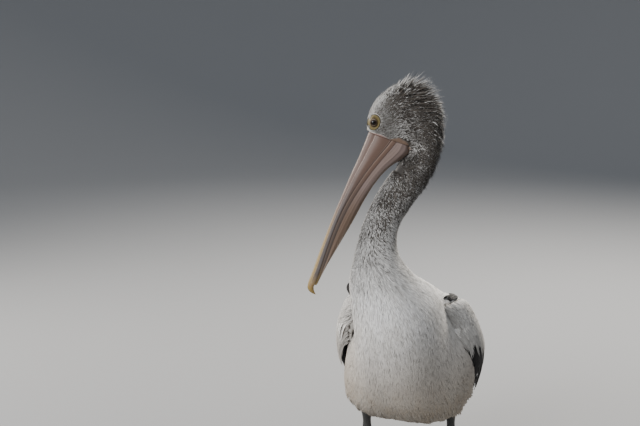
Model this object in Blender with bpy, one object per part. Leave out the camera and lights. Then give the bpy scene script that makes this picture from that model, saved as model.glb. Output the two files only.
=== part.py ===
"""A standing pelican as a still, life-size museum model.

Metres, +Z up. The bird heads along -Y with its left side at +X and stands on z = 0.
One loft of flesh runs from the tail root over the torso and neck to the face and is
parted at named stations. The bill, eyes, wings, legs and feet are set on it.
"""

import math
import random

import bmesh
import bpy
import numpy as np
from mathutils import Vector

# Shared sizes
GAP = 0.0003  # air that touching pieces keep
SEED = 41
PLACE = Vector((0.007, -0.129, 0.0))  # brings the middle of the whole bird over the origin
BODY_SIDES = 28
NECK_SIDES = 22
HEAD_SIDES = 24

# The head's own frame: forward runs down the bill, up is the crown's side
THROAT = np.array([0.050, -0.112, 0.937])
HEAD_YAW, HEAD_PITCH, HEAD_ROLL = 66.0, -70.0, 12.0

# Stations of the body loft, tail end first: centre, yaw, pitch and roll in degrees,
# half width, height above the centre, depth below it
STATIONS = (
    ("tail_pad", (0.000, 0.398, 0.331), 0, 8, 0, 0.036, 0.006, 0.006),
    ("tail_root", (0.000, 0.362, 0.334), 0, 14, 0, 0.038, 0.016, 0.017),
    ("rump", (0.000, 0.302, 0.345), 0, 20, 0, 0.078, 0.046, 0.070),
    ("loin", (0.002, 0.212, 0.350), 0, 20, 0, 0.136, 0.112, 0.144),
    ("hip", (0.005, 0.115, 0.350), 0, 20, 0, 0.171, 0.170, 0.176),
    ("belly", (0.008, 0.010, 0.354), 0, 24, 0, 0.172, 0.210, 0.170),
    ("breast", (0.027, -0.084, 0.420), 0, 38, 0, 0.120, 0.183, 0.174),
    ("shoulder", (0.026, -0.144, 0.528), 0, 60, 0, 0.098, 0.122, 0.140),
    ("neck_root", (0.004, -0.170, 0.605), 5, 77, 0, 0.080, 0.080, 0.081),
    ("neck_low", (-0.008, -0.177, 0.668), 14, 86, 0, 0.054, 0.053, 0.056),
    ("neck_middle", (-0.004, -0.163, 0.740), 28, 95, 0, 0.043, 0.045, 0.043),
    ("neck_bend", (0.018, -0.140, 0.803), 44, 110, 2, 0.042, 0.049, 0.041),
    ("neck_high", (0.050, -0.116, 0.862), 58, 120, 6, 0.040, 0.046, 0.039),
)

# Stations of the head, a fan round the throat: the end at the face and the end at the
# crown as (forward, up) in the head's frame, and half width, in millimetres
HEAD_STATIONS = (
    ("nape_low", (14, -1), (-34, -70), 38),
    ("nape", (10, 6), (-74, -56), 37),
    ("occiput", (14, 12), (-116, -28), 37),
    ("crown_back", (20, 24), (-138, 20), 38),
    ("crown", (20, 40), (-138, 66), 38),
    ("crown_front", (20, 58), (-112, 101), 36),
    ("brow", (18, 76), (-76, 121), 32),
    ("forehead", (12, 92), (-42, 124), 24),
    ("lore", (6, 103), (-12, 118), 12),
)
FACE_FORWARD = -0.004  # the flat where the bill meets the head
FACE_LOW = 0.006

# Bill, in the head's frame and millimetres: distance forward, culmen, edge of the upper
# half, lower edge of the jaw bar, bottom of the pouch, half width of the upper half
BILL = (
    (-3.7, 110.0, 56.0, 42.0, 7.0, 29.0),
    (12.0, 110.0, 60.5, 47.0, 6.5, 28.0),
    (30.0, 110.5, 67.0, 53.5, 17.0, 26.0),
    (63.0, 111.5, 78.0, 65.0, 36.0, 23.0),
    (110.0, 115.0, 91.0, 78.5, 50.5, 20.0),
    (160.0, 117.5, 102.0, 90.0, 58.5, 18.0),
    (215.0, 120.0, 109.0, 98.0, 66.5, 17.0),
    (272.0, 121.0, 111.0, 101.5, 76.5, 17.5),
    (327.0, 121.0, 110.0, 102.0, 88.0, 19.0),
    (375.0, 120.5, 108.5, 102.5, 98.0, 20.0),
    (405.0, 121.5, 107.5, 103.0, 102.0, 17.0),
)
BILL_END = 412.0  # where the jaw ends and the nail begins
NOSTRIL_FORWARD, NOSTRIL_LONG, NOSTRIL_HIGH = 30.0, 16.0, 2.4

# Eye
EYE_FORWARD, EYE_UP = -31.0, 112.5
EYE_RADIUS = 0.0105
EYE_OUT = 0.0205  # how far the ball's middle stands from the head's middle plane

LID_LONG, LID_SHORT, LID_THICK, LID_BROAD = 0.0190, 0.0155, 0.0030, 0.0052  # bare eye ring
EYE_LOOK_UP = 24.0  # how far the eye looks above straight out, in degrees

# Hackles: rows from the upper neck over the nape to the crown
HACKLE_LONG, HACKLE_WIDE, HACKLE_THICK = 0.047, 0.0170, 0.0020
HACKLE_ROWS = {
    "head": (("nape_low", "crown_front"), (0.06, 0.26, 0.46, 0.66, 0.86), 6, 1.0),
}

# Folded left wing: its upper edge, fullest line and feather tips, from the wrist back
WING_TOP = (
    (0.132, -0.036, 0.526), (0.142, 0.045, 0.530), (0.096, 0.165, 0.492), (0.030, 0.295, 0.412)
)
WING_FULL = (
    (0.158, -0.022, 0.430), (0.190, 0.055, 0.425), (0.161, 0.175, 0.392), (0.090, 0.312, 0.366)
)
WING_TIPS = (
    (0.172, 0.030, 0.326), (0.172, 0.120, 0.225), (0.130, 0.280, 0.262), (0.058, 0.425, 0.368)
)
PAD_END = 0.52  # how far down the folded wing its thick part reaches
# Tiers of wing feathers: count, from and to along the wing, root and tip down it at the
# front and at the rear, width, lift over the surface, backward drift
TIERS = {
    "secondary": (8, (0.08, 0.76), (0.42, 0.44), (0.99, 1.00), 0.040, -0.0040, 0.02),
    "primary": (3, (0.86, 0.98), (0.40, 0.40), (1.02, 1.05), 0.028, -0.0030, 0.0),
    "greater_covert": (8, (0.05, 0.88), (0.36, 0.36), (0.76, 0.80), 0.045, 0.0020, 0.03),
    "median_covert": (8, (0.05, 0.86), (0.22, 0.22), (0.54, 0.56), 0.044, 0.0066, 0.04),
}
VANE_THICK = 0.0011
WRIST_TURN, WRIST_REACH = 0.028, 0.18  # how far, and over what share, the wrist rounds inwards
TOP_TURN = 0.011  # how far the upper edge rounds inwards
ROOF_DEEP, ROOF_LESS, ROOF_RISE = 0.090, 0.050, 0.25  # the shelf from the upper edge to the back
VANE_TILT = 0.0013  # how far each edge leaves the surface, so that neighbours shingle
SCAPULARS = 5

# Tail: a shallow fan of feathers
TAIL_VANES = 11
TAIL_LONG, TAIL_WIDE = 0.150, 0.027

# How far the top, full and tip lines of each wing stand from the mirrored curves above
WING_SHIFT = {
    "left": ((0.008, 0.0, -0.004), (0.000, 0.0, 0.004), (-0.010, 0.0, 0.004)),
    "right": ((-0.006, -0.010, -0.010), (-0.011, -0.010, -0.010), (-0.008, -0.010, -0.010)),
}

# Legs, left and right: where the leg leaves the body, the hock, the root of the toes
LEGS = {
    "left": ((0.112, 0.074, 0.250), (0.113, 0.084, 0.122), (0.110, 0.064, 0.030)),
    "right": ((-0.104, 0.002, 0.250), (-0.106, 0.014, 0.122), (-0.108, -0.006, 0.030)),
}
THIGH_END = 0.158
FOOT_TOP = 0.030
TOE_OUT = 14.0
# Toes: angle from straight ahead towards the inner side, length, half width, height
TOES = {
    "middle": (0.0, 0.108, 0.0072, 0.0135),
    "outer": (-24.0, 0.102, 0.0066, 0.0125),
    "inner": (25.0, 0.082, 0.0066, 0.0125),
    "hind": (100.0, 0.050, 0.0055, 0.0110),
}
WEB_THICK = 0.0030
CLAW_LONG = 0.017

COLOURS = {
    "white": ((0.83, 0.81, 0.76, 1.0), 0.85),
    "grey": ((0.42, 0.41, 0.40, 1.0), 0.85),
    "black": ((0.03, 0.03, 0.035, 1.0), 0.6),
    "bill": ((0.62, 0.42, 0.36, 1.0), 0.45),
    "pouch": ((0.55, 0.36, 0.30, 1.0), 0.5),
    "leg": ((0.10, 0.11, 0.12, 1.0), 0.55),
    "claw": ((0.03, 0.03, 0.03, 1.0), 0.35),
    "eye": ((0.05, 0.03, 0.02, 1.0), 0.1),
}


def clear_scene():
    for old in list(bpy.data.objects):
        bpy.data.objects.remove(old, do_unlink=True)


def new_collection(name):
    collection = bpy.data.collections.new(name)
    bpy.context.scene.collection.children.link(collection)
    return collection


def material(name):
    found = bpy.data.materials.get(name)
    if found:
        return found
    colour, roughness = COLOURS[name]
    made = bpy.data.materials.new(name)
    made.use_nodes = True
    shader = made.node_tree.nodes["Principled BSDF"]
    shader.inputs["Base Color"].default_value = colour
    shader.inputs["Roughness"].default_value = roughness
    shader.inputs["Metallic"].default_value = 0.0
    return made


clear_scene()
BIRD = new_collection("pelican")
CUTTERS = new_collection("pelican_cutters")
ROOT = bpy.data.objects.new("pelican_origin", None)
ROOT.location = PLACE
BIRD.objects.link(ROOT)


# Building meshes


def mesh_object(name, points, faces, colour, collection=BIRD):
    mesh = bpy.data.meshes.new(name)
    mesh.from_pydata([tuple(map(float, p)) for p in points], [], [tuple(f) for f in faces])
    mesh.materials.append(material(colour))
    mesh.validate()
    made = bpy.data.objects.new(name, mesh)
    made.parent = ROOT
    collection.objects.link(made)
    face_outwards(made)
    return made


def face_outwards(made):
    work = bmesh.new()
    work.from_mesh(made.data)
    bmesh.ops.recalc_face_normals(work, faces=work.faces)
    if work.calc_volume(signed=True) < 0:
        bmesh.ops.reverse_faces(work, faces=work.faces)
    work.to_mesh(made.data)
    work.free()


def loft_mesh(rings):
    """Points and triangles of a closed tube through the rings, with a fan at each end."""
    rings = np.asarray(rings, float)
    count, sides = rings.shape[:2]
    points = list(rings.reshape(-1, 3))
    faces = []
    for i in range(count - 1):
        for j in range(sides):
            a, b = i * sides + j, i * sides + (j + 1) % sides
            c, d = b + sides, a + sides
            faces += [(a, b, c), (a, c, d)]
    for ring, first in ((0, 0), (count - 1, (count - 1) * sides)):
        points.append(rings[ring].mean(axis=0))
        centre = len(points) - 1
        for j in range(sides):
            faces.append((first + j, first + (j + 1) % sides, centre))
    return points, faces


def loft(name, rings, colour, collection=BIRD):
    points, faces = loft_mesh(rings)
    return mesh_object(name, points, faces, colour, collection)


def smooth_through(values, knots, at):
    """A smooth curve through values at their knots, read at the places in `at`."""
    values = np.asarray(values, float)
    knots = np.asarray(knots, float)
    slopes = np.gradient(values, knots, axis=0)
    at = np.clip(at, knots[0], knots[-1])
    index = np.clip(np.searchsorted(knots, at, side="right") - 1, 0, len(knots) - 2)
    span = knots[index + 1] - knots[index]
    t = (at - knots[index]) / span
    shape = (-1,) + (1,) * (values.ndim - 1)
    t, span = t.reshape(shape), span.reshape(shape)
    start, end = values[index], values[index + 1]
    leave, arrive = slopes[index] * span, slopes[index + 1] * span
    return (
        (2 * t**3 - 3 * t**2 + 1) * start
        + (t**3 - 2 * t**2 + t) * leave
        + (-2 * t**3 + 3 * t**2) * end
        + (t**3 - t**2) * arrive
    )


# The body loft


def axes(yaw, pitch, roll):
    """Unit vectors along the body, towards its back and towards its left."""
    yaw, pitch, roll = (math.radians(v) for v in (yaw, pitch, roll))
    heading = np.array([-math.sin(yaw), -math.cos(yaw), 0.0])
    up = np.array([0.0, 0.0, 1.0])
    along = math.cos(pitch) * heading + math.sin(pitch) * up
    back = -math.sin(pitch) * heading + math.cos(pitch) * up
    left = np.array([math.cos(yaw), -math.sin(yaw), 0.0])
    return (
        along,
        math.cos(roll) * back + math.sin(roll) * left,
        math.cos(roll) * left - math.sin(roll) * back,
    )


HEAD_ALONG, HEAD_UP, HEAD_LEFT = axes(HEAD_YAW, HEAD_PITCH, HEAD_ROLL)


def head_point(forward, up, left=0.0):
    """A place in the head's frame, in millimetres, as a world point."""
    return THROAT + (forward * HEAD_ALONG + up * HEAD_UP + left * HEAD_LEFT) * 0.001


def station_vectors():
    """Each station as centre, back vector, belly vector and side vector, and its name."""
    names, rows = [], []
    for name, centre, yaw, pitch, roll, half, high, deep in STATIONS:
        _, back, left = axes(yaw, pitch, roll)
        names.append(name)
        rows.append((np.array(centre), back * high, -back * deep, left * half))
    for name, face, crown, half in HEAD_STATIONS:
        low, top = head_point(*face), head_point(*crown)
        middle = (low + top) / 2
        names.append(name)
        rows.append((middle, top - middle, low - middle, HEAD_LEFT * half * 0.001))
    return names, np.array(rows)


STATION_NAMES, STATION_ROWS = station_vectors()
RIDGE = STATION_ROWS[:, 0] + 0.6 * STATION_ROWS[:, 1]
KNOTS = np.concatenate([[0.0], np.cumsum(np.linalg.norm(np.diff(RIDGE, axis=0), axis=1))])


def knot(name):
    return KNOTS[STATION_NAMES.index(name)]


def squareness(at):
    """How full the section is below and above: an ellipse is 2, the heavy belly is more."""
    swell = np.exp(-(((at - knot("hip") - 0.03) / 0.15) ** 2))
    return 2.05 + 1.60 * swell, 2.05 - 0.38 * swell


def body_ring(at, sides, swell=0.0):
    """Rings round the loft at the places in `at`, grown outwards by `swell`."""
    rows = smooth_through(STATION_ROWS, KNOTS, at)
    centre, back, belly, side = rows[:, 0], rows[:, 1], rows[:, 2], rows[:, 3]
    grown = [v * (1 + swell / np.linalg.norm(v, axis=1, keepdims=True)) for v in (back, belly, side)]
    turn = np.linspace(0, 2 * np.pi, sides, endpoint=False)
    lower, upper = (2 / full[:, None] for full in squareness(at))
    cosine, sine = np.cos(turn)[None], np.sin(turn)[None]
    power = np.where(cosine < 0, lower, upper)
    rise = np.sign(cosine) * np.abs(cosine) ** power
    spread = np.sign(sine) * np.abs(sine) ** power
    up = np.clip(rise, 0, None)[..., None] * grown[0][:, None]
    down = np.clip(-rise, 0, None)[..., None] * grown[1][:, None]
    return centre[:, None] + up + down + spread[..., None] * grown[2][:, None]


def surface_point(at, turn):
    """A point of the loft at a place along it and an angle from its back line."""
    rows = smooth_through(STATION_ROWS, KNOTS, np.array([at]))[0]
    up = rows[1] * math.cos(turn) if math.cos(turn) > 0 else -rows[2] * math.cos(turn)
    return rows[0] + up + rows[3] * math.sin(turn)


def surface_normal(at, turn):
    along = surface_point(at + 0.002, turn) - surface_point(at - 0.002, turn)
    round_it = surface_point(at, turn + 0.02) - surface_point(at, turn - 0.02)
    normal = np.cross(along, round_it)
    normal /= np.linalg.norm(normal)
    middle = smooth_through(STATION_ROWS, KNOTS, np.array([at]))[0][0]
    return normal * np.sign(normal.dot(surface_point(at, turn) - middle))


def flesh_rings(first, last, count, sides, swell=0.0):
    """Rings from one station to another, each end drawn back by half the gap."""
    at = np.linspace(knot(first), knot(last), count)
    rings = body_ring(at, sides, swell)
    for end, inner in ((0, 1), (-1, -2)):
        if STATION_NAMES[0 if end == 0 else -1] in (first, last) and swell == 0.0:
            continue
        step = rings[inner].mean(axis=0) - rings[end].mean(axis=0)
        rings[end] = rings[end] + step / np.linalg.norm(step) * (GAP / 2 - swell)
    return rings


# Booleans


def box(name, corners_low, corners_high, frame=None):
    """A closed box between two corners, in the world or in the head's frame."""
    low, high = np.array(corners_low, float), np.array(corners_high, float)
    work = bmesh.new()
    bmesh.ops.create_cube(work, size=1.0)
    points = np.array([v.co[:] for v in work.verts])
    faces = [[v.index for v in f.verts] for f in work.faces]
    work.free()
    points = (low + high) / 2 + points * (high - low)
    if frame == "head":
        points = np.array([head_point(*p) for p in points])
    return mesh_object(name, points, faces, "grey", CUTTERS)


def hide(cutter):
    cutter.hide_render = True
    cutter.display_type = "WIRE"
    return cutter


def apply_all(target):
    """Turns the object into the mesh that its modifiers make."""
    bpy.context.view_layer.update()
    graph = bpy.context.evaluated_depsgraph_get()
    made = bpy.data.meshes.new_from_object(target.evaluated_get(graph))
    target.modifiers.clear()
    target.data = made


def cut(target, cutter, solver="EXACT"):
    modifier = target.modifiers.new("cut_" + cutter.name, "BOOLEAN")
    modifier.operation = "DIFFERENCE"
    modifier.solver = solver
    modifier.object = cutter
    apply_all(target)
    target.modifiers.clear()
    bpy.data.objects.remove(cutter, do_unlink=True)


def join(target, pieces, solver="EXACT"):
    """Fuses loose closed meshes into the target as one solid."""
    gathered = bpy.data.collections.new("join_" + target.name)
    for piece in pieces:
        for holder in list(piece.users_collection):
            holder.objects.unlink(piece)
        gathered.objects.link(piece)
    modifier = target.modifiers.new("join", "BOOLEAN")
    modifier.operation = "UNION"
    modifier.solver = solver
    modifier.operand_type = "COLLECTION"
    modifier.collection = gathered
    apply_all(target)
    for piece in pieces:
        bpy.data.objects.remove(piece, do_unlink=True)
    bpy.data.collections.remove(gathered)


def keep_largest(target):
    """Leaves only the closed surface that holds the most space."""
    work = bmesh.new()
    work.from_mesh(target.data)
    bmesh.ops.triangulate(work, faces=work.faces)
    unseen = set(work.faces)
    shells = []
    while unseen:
        grow = [unseen.pop()]
        shell = list(grow)
        while grow:
            for edge in grow.pop().edges:
                for other in edge.link_faces:
                    if other in unseen:
                        unseen.discard(other)
                        shell.append(other)
                        grow.append(other)
        volume = 0.0
        for face in shell:
            first, second, third = (corner.co for corner in face.verts)
            volume += first.dot(second.cross(third)) / 6
        shells.append((volume, shell))
    largest = set(max(shells, key=lambda pair: pair[0])[1])
    loose = [face for face in work.faces if face not in largest]
    bmesh.ops.delete(work, geom=loose, context="FACES")
    work.to_mesh(target.data)
    work.free()


def torso_cutter(name="torso_cutter"):
    rings = flesh_rings("tail_root", "neck_root", 21, BODY_SIDES, swell=GAP)
    return hide(loft(name, rings, "grey", CUTTERS))


# Flesh


def make_flesh():
    loft("torso", flesh_rings("tail_root", "neck_root", 21, BODY_SIDES), "white")
    loft("neck_lower", flesh_rings("neck_root", "neck_middle", 8, NECK_SIDES), "white")
    loft("neck_upper", flesh_rings("neck_middle", "nape_low", 10, NECK_SIDES), "grey")
    head = loft("head", flesh_rings("nape_low", "lore", 17, HEAD_SIDES), "grey")
    face = box("face_cutter", (FACE_FORWARD * 1000, FACE_LOW * 1000, -90), (120, 200, 90), "head")
    cut(head, hide(face))
    keep_largest(head)


def eye_centre(side):
    return Vector(head_point(EYE_FORWARD, EYE_UP, side * EYE_OUT * 1000))


def ball(name, centre, radius, colour, collection=BIRD):
    work = bmesh.new()
    bmesh.ops.create_uvsphere(work, u_segments=14, v_segments=8, radius=radius)
    mesh = bpy.data.meshes.new(name)
    work.to_mesh(mesh)
    work.free()
    mesh.materials.append(material(colour))
    made = bpy.data.objects.new(name, mesh)
    made.location = centre
    made.parent = ROOT
    collection.objects.link(made)
    return made


def eye_axes(side):
    """Unit vectors out of the eye, along the head and across both."""
    look = math.radians(EYE_LOOK_UP)
    out = side * HEAD_LEFT * math.cos(look) + HEAD_UP * math.sin(look)
    along = HEAD_ALONG
    return out, along, np.cross(out, along)


def make_lid(side):
    """The bare, swollen ring of skin round the eye."""
    out, along, across = eye_axes(side)
    turn = np.linspace(0, 2 * np.pi, 16, endpoint=False)
    section = np.linspace(0, 2 * np.pi, 5, endpoint=False)
    middle = np.array(eye_centre(side)) + out * EYE_RADIUS * 0.42
    points, faces = [], []
    for angle in turn:
        ray = along * math.cos(angle) * LID_LONG + across * math.sin(angle) * LID_SHORT
        outward = ray / np.linalg.norm(ray)
        ring = middle + ray - outward * LID_BROAD * 0.92 - out * LID_THICK * 0.4
        for spot in section:
            offset = outward * math.cos(spot) * LID_BROAD + out * math.sin(spot) * LID_THICK
            points.append(ring + offset)
    count = len(section)
    for i in range(len(turn)):
        for j in range(count):
            a, b = i * count + j, i * count + (j + 1) % count
            c, d = ((i + 1) % len(turn)) * count + (j + 1) % count, ((i + 1) % len(turn)) * count + j
            faces += [(a, b, c), (a, c, d)]
    return mesh_object("lid", points, faces, "grey")


def hackle_rows(node):
    """Roots and directions of the hackles on a node: on its back half, lying backward."""
    (first, last), rows, across, reach = HACKLE_ROWS[node]
    spots = []
    for index, row in enumerate(rows):
        at = knot(first) + (knot(last) - knot(first)) * row
        for number in range(across):
            shift = 0.5 * (index % 2)
            turn = (number + shift - (across - 0.5) / 2) / across * math.radians(150)
            spots.append((at, turn, reach))
    return spots


def make_hackles(node):
    """Flat tapered locks that rise from the nape and crown and bend back along their lie."""
    draw = random.Random(SEED)
    locks = []
    for at, turn, reach in hackle_rows(node):
        at += draw.uniform(-0.003, 0.003)
        turn += draw.uniform(-0.06, 0.06)
        here = surface_point(at, turn)
        back = surface_point(at - 0.004, turn) - here
        side = surface_point(at, turn + 0.05) - here
        back /= np.linalg.norm(back)
        normal = surface_normal(at, turn)
        long = HACKLE_LONG * reach * draw.uniform(0.8, 1.15)
        share = np.array([0.0, 0.35, 0.7, 1.0])
        rise = -0.0050 + long * (0.70 * share - 0.20 * share**2)
        path = here + np.outer(long * 0.88 * share**1.15, back) + np.outer(rise, normal)
        flat = np.cross(np.gradient(path, axis=0), side)
        flat *= np.sign(flat @ normal)[:, None]
        flat /= np.linalg.norm(flat, axis=1, keepdims=True)
        widths = HACKLE_WIDE * np.array([0.85, 1.0, 0.62, 0.12])
        thick = HACKLE_THICK * np.array([1.0, 0.9, 0.6, 0.35])
        locks.append(vane("hackle", path, flat, widths, thick, 0.0, "grey"))
    owner = bpy.data.objects[node]
    join(owner, locks, "MANIFOLD")
    keep_largest(owner)


def make_eyes():
    head = bpy.data.objects["head"]
    join(head, [make_lid(1), make_lid(-1)])
    for name, side in (("left", 1), ("right", -1)):
        centre = eye_centre(side)
        cut(head, hide(ball("socket_" + name, centre, EYE_RADIUS + GAP, "eye", CUTTERS)))
        ball("eye_" + name, centre, EYE_RADIUS, "eye")
    keep_largest(head)


# Bill


def bill_rows(extra=()):
    rows = np.array(BILL)
    places = np.unique(np.concatenate([rows[:, 0], (rows[1:, 0] + rows[:-1, 0]) / 2, extra]))
    return smooth_through(rows, rows[:, 0], places)


def upper_section(row):
    """One half-section of the upper bill, from its edge over the side plate and groove."""
    forward, culmen, edge, _, _, half = row
    high = culmen - edge
    ridge = 0.36 * half
    return (
        (half - 2.5, edge + 0.15),
        (half, edge + 0.12 * high),
        (half * 0.90, edge + 0.50 * high),
        (half * 0.66, edge + 0.72 * high),
        (ridge * 1.18, edge + 0.74 * high),
        (ridge * 0.80, edge + 0.94 * high),
    )


def ring_in_head(forward, half_section, top, bottom):
    """A closed ring from a half-section, its mirror image and the two middle points."""
    left = [(l, u) for l, u in half_section]
    right = [(-l, u) for l, u in reversed(half_section)]
    outline = left + [(0.0, top)] + right + [(0.0, bottom)]
    return [head_point(forward, u, l) for l, u in outline]


def make_bill():
    rings = []
    for row in bill_rows():
        rings.append(ring_in_head(row[0], upper_section(row), row[1], row[2] + 0.15))
    nail = (
        (BILL_END, 121.0, 107.0, 14.0),
        (420.0, 119.0, 103.0, 11.0),
        (427.0, 113.0, 97.0, 8.0),
        (431.0, 104.0, 93.0, 4.5),
        (430.0, 97.0, 92.0, 2.0),
    )
    for forward, top, low, half in nail:
        section = (
            (half - 1.2, low),
            (half, low + 0.2 * (top - low)),
            (half * 0.9, low + 0.5 * (top - low)),
            (half * 0.7, low + 0.72 * (top - low)),
            (half * 0.5, low + 0.85 * (top - low)),
            (half * 0.3, low + 0.95 * (top - low)),
        )
        rings.append(ring_in_head(forward, section, top, low))
    upper = loft("bill_upper", rings, "bill")
    for side in (1, -1):
        row = smooth_through(np.array(BILL), np.array(BILL)[:, 0], np.array([NOSTRIL_FORWARD]))[0]
        middle = row[2] + 0.73 * (row[1] - row[2])
        slit = box(
            "nostril",
            (NOSTRIL_FORWARD - NOSTRIL_LONG / 2, middle - NOSTRIL_HIGH / 2, side * row[5] * 0.55 - 3.0),
            (NOSTRIL_FORWARD + NOSTRIL_LONG / 2, middle + NOSTRIL_HIGH / 2, side * row[5] * 0.55 + 3.0),
            "head",
        )
        cut(upper, hide(slit))
    keep_largest(upper)

    gap = GAP * 1000
    jaw, pouch = [], []
    for row in bill_rows():
        forward, _, edge, bar, bottom, half = row
        top = edge + 0.15 - gap
        width = half - 2.5
        section = ((width, top), (width + 0.6, (top + bar) / 2), (width, bar))
        jaw.append(
            [head_point(forward, u, l) for l, u in section]
            + [head_point(forward, u, -l) for l, u in reversed(section)]
        )
        if bar - bottom < 2.0:
            continue
        low, drop = bar - gap, bar - gap - bottom
        belly = (
            (width - 0.5, low),
            (width * 1.06, low - 0.30 * drop),
            (width * 0.94, low - 0.60 * drop),
            (width * 0.55, low - 0.88 * drop),
        )
        pouch.append(
            [head_point(forward, u, l) for l, u in belly]
            + [head_point(forward, bottom, 0.0)]
            + [head_point(forward, u, -l) for l, u in reversed(belly)]
        )
    loft("bill_lower", jaw, "bill")
    loft("pouch", pouch, "pouch")


# Wings


def wing_curves(side):
    """The wing's three guide curves as world points, for one side."""
    mirror = 1 if side == "left" else -1
    curves = []
    for curve, shift in zip((WING_TOP, WING_FULL, WING_TIPS), WING_SHIFT[side]):
        curves.append(np.array(curve) * (mirror, 1, 1) + shift)
    return np.array(curves)


def wing_surface(curves, u, v):
    """The folded wing's outer surface: u from wrist to rump, v from top edge to tips."""
    u, v = np.broadcast_arrays(np.asarray(u, float), np.asarray(v, float))
    flat_u, flat_v = u.ravel(), v.ravel()
    knots_u = np.array([0.0, 0.3, 0.62, 1.0])
    along = [smooth_through(curve, knots_u, flat_u) for curve in curves]
    top, full, tips = along
    # A quadratic through the top edge at 0, the full part at 0.42 and the tips at 1
    m = 0.42
    a = (flat_v - m) * (flat_v - 1) / m
    b = flat_v * (flat_v - 1) / (m * (m - 1))
    c = flat_v * (flat_v - m) / (1 - m)
    points = a[:, None] * top + b[:, None] * full + c[:, None] * tips
    return points.reshape(u.shape + (3,))


def wing_normal(curves, u, v, side):
    step = 1e-3
    du = wing_surface(curves, u + step, v) - wing_surface(curves, u - step, v)
    dv = wing_surface(curves, u, v + step) - wing_surface(curves, u, v - step)
    normal = np.cross(dv, du)
    normal /= np.linalg.norm(normal, axis=-1, keepdims=True)
    outward = 1 if side == "left" else -1
    return normal * np.sign(normal[..., :1] * outward + 1e-9)


def round_over(x):
    """From 0 at an edge up to 1 a radius in, as a quarter circle."""
    return np.sqrt(1 - (1 - np.clip(x, 0, 1)) ** 2)


def wrist_turn(u):
    """How far the wing's front edge is drawn in towards the breast."""
    return WRIST_TURN * (1 - round_over(u / WRIST_REACH))


def slab(name, outer, inner, colour, collection=BIRD):
    """A closed plate between two grids of points of the same shape."""
    rows, columns = outer.shape[:2]
    points = list(outer.reshape(-1, 3)) + list(inner.reshape(-1, 3))
    under = rows * columns
    faces = []
    for i in range(rows - 1):
        for j in range(columns - 1):
            a = i * columns + j
            b, c, d = a + 1, a + columns + 1, a + columns
            faces += [(a, b, c), (a, c, d)]
            faces += [(a + under, c + under, b + under), (a + under, d + under, c + under)]
    rim = [j for j in range(columns)]
    rim += [i * columns + columns - 1 for i in range(1, rows)]
    rim += [(rows - 1) * columns + j for j in range(columns - 2, -1, -1)]
    rim += [i * columns for i in range(rows - 2, 0, -1)]
    for a, b in zip(rim, rim[1:] + rim[:1]):
        faces += [(a, b, b + under), (a, b + under, a + under)]
    return mesh_object(name, points, faces, colour, collection)


def vane(name, path, normals, widths, thick, tilt, colour):
    """A flat feather along a path: two edges tilted so that neighbours overlap."""
    tangent = np.gradient(path, axis=0)
    across = np.cross(normals, tangent)
    across /= np.linalg.norm(across, axis=1, keepdims=True)
    widths, thick = np.asarray(widths)[:, None], np.asarray(thick)[:, None]
    first = path + across * widths / 2 + normals * tilt
    second = path - across * widths / 2 - normals * tilt
    middle = np.stack([first, second], axis=1)
    rise = (normals * thick / 2)[:, None]
    return slab(name, middle + rise, middle - rise, colour)


def smooth_step(x):
    x = np.clip(x, 0, 1)
    return x * x * (3 - 2 * x)


def tier_vanes(curves, side, tier, draw):
    """One tier of feathers laid on the folded wing, roots sunk in the thick part."""
    count, span, roots, tips, wide, lift, drift = TIERS[tier]
    share = np.array([0.0, 0.30, 0.72, 1.0])
    shape = np.array([0.70, 1.0, 0.86, 0.20])
    colour = "white" if tier.endswith("covert") else "black"
    vanes = []
    for number in range(count):
        place = number / (count - 1)
        u = span[0] + (span[1] - span[0]) * place
        root = roots[0] + (roots[1] - roots[0]) * place
        tip = tips[0] + (tips[1] - tips[0]) * place + draw.uniform(-0.025, 0.025)
        down = root + (tip - root) * share
        back = u + drift * share
        normals = wing_normal(curves, back, down, side)
        sunk = 0.0055 + lift
        height = lift - sunk * (1 - smooth_step(share / 0.3)) - wrist_turn(back)
        path = wing_surface(curves, back, down) + normals * height[:, None]
        widths = wide * shape * draw.uniform(0.92, 1.06)
        thick = VANE_THICK * np.array([1.0, 1.0, 0.9, 0.6])
        tilt = -VANE_TILT if side == "left" else VANE_TILT
        vanes.append(vane(tier, path, normals, widths, thick, tilt, colour))
    return vanes


def roof_across(side):
    """The level-ish direction from the wing's upper edge in over the back."""
    across = np.array([-1.0 if side == "left" else 1.0, 0.0, ROOF_RISE])
    return across / np.linalg.norm(across)


def scapular_vanes(curves, side, draw):
    """Long feathers that lie back along the shelf between the wing and the back."""
    share = np.array([0.0, 0.30, 0.72, 1.0])
    shape = np.array([0.7, 1.0, 0.86, 0.2])
    across = roof_across(side)
    vanes = []
    for number in range(SCAPULARS):
        start = 0.10 + 0.44 * number / (SCAPULARS - 1)
        u = start + (0.34 + draw.uniform(-0.02, 0.02)) * share
        edge = wing_surface(curves, u, 0.0)
        edge = edge - wing_normal(curves, u, 0.0 * u, side) * (wrist_turn(u) + TOP_TURN)[:, None]
        inwards = (0.16 + 0.14 * (number % 2)) * (ROOF_DEEP - ROOF_LESS * u)
        tangent = np.gradient(edge, axis=0)
        normals = np.cross(tangent, np.broadcast_to(across, tangent.shape))
        normals /= np.linalg.norm(normals, axis=1, keepdims=True)
        normals *= np.sign(normals[:, 2:])
        height = 0.0034 - 0.0120 * (1 - smooth_step(share / 0.3)) + 0.0012 * (number % 3)
        path = edge + across * inwards[:, None] + normals * height[:, None]
        thick = np.full(len(share), VANE_THICK)
        tilt = VANE_TILT if side == "left" else -VANE_TILT
        vanes.append(vane("scapular", path, normals, 0.028 * shape, thick, tilt, "black"))
    return vanes


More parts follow.
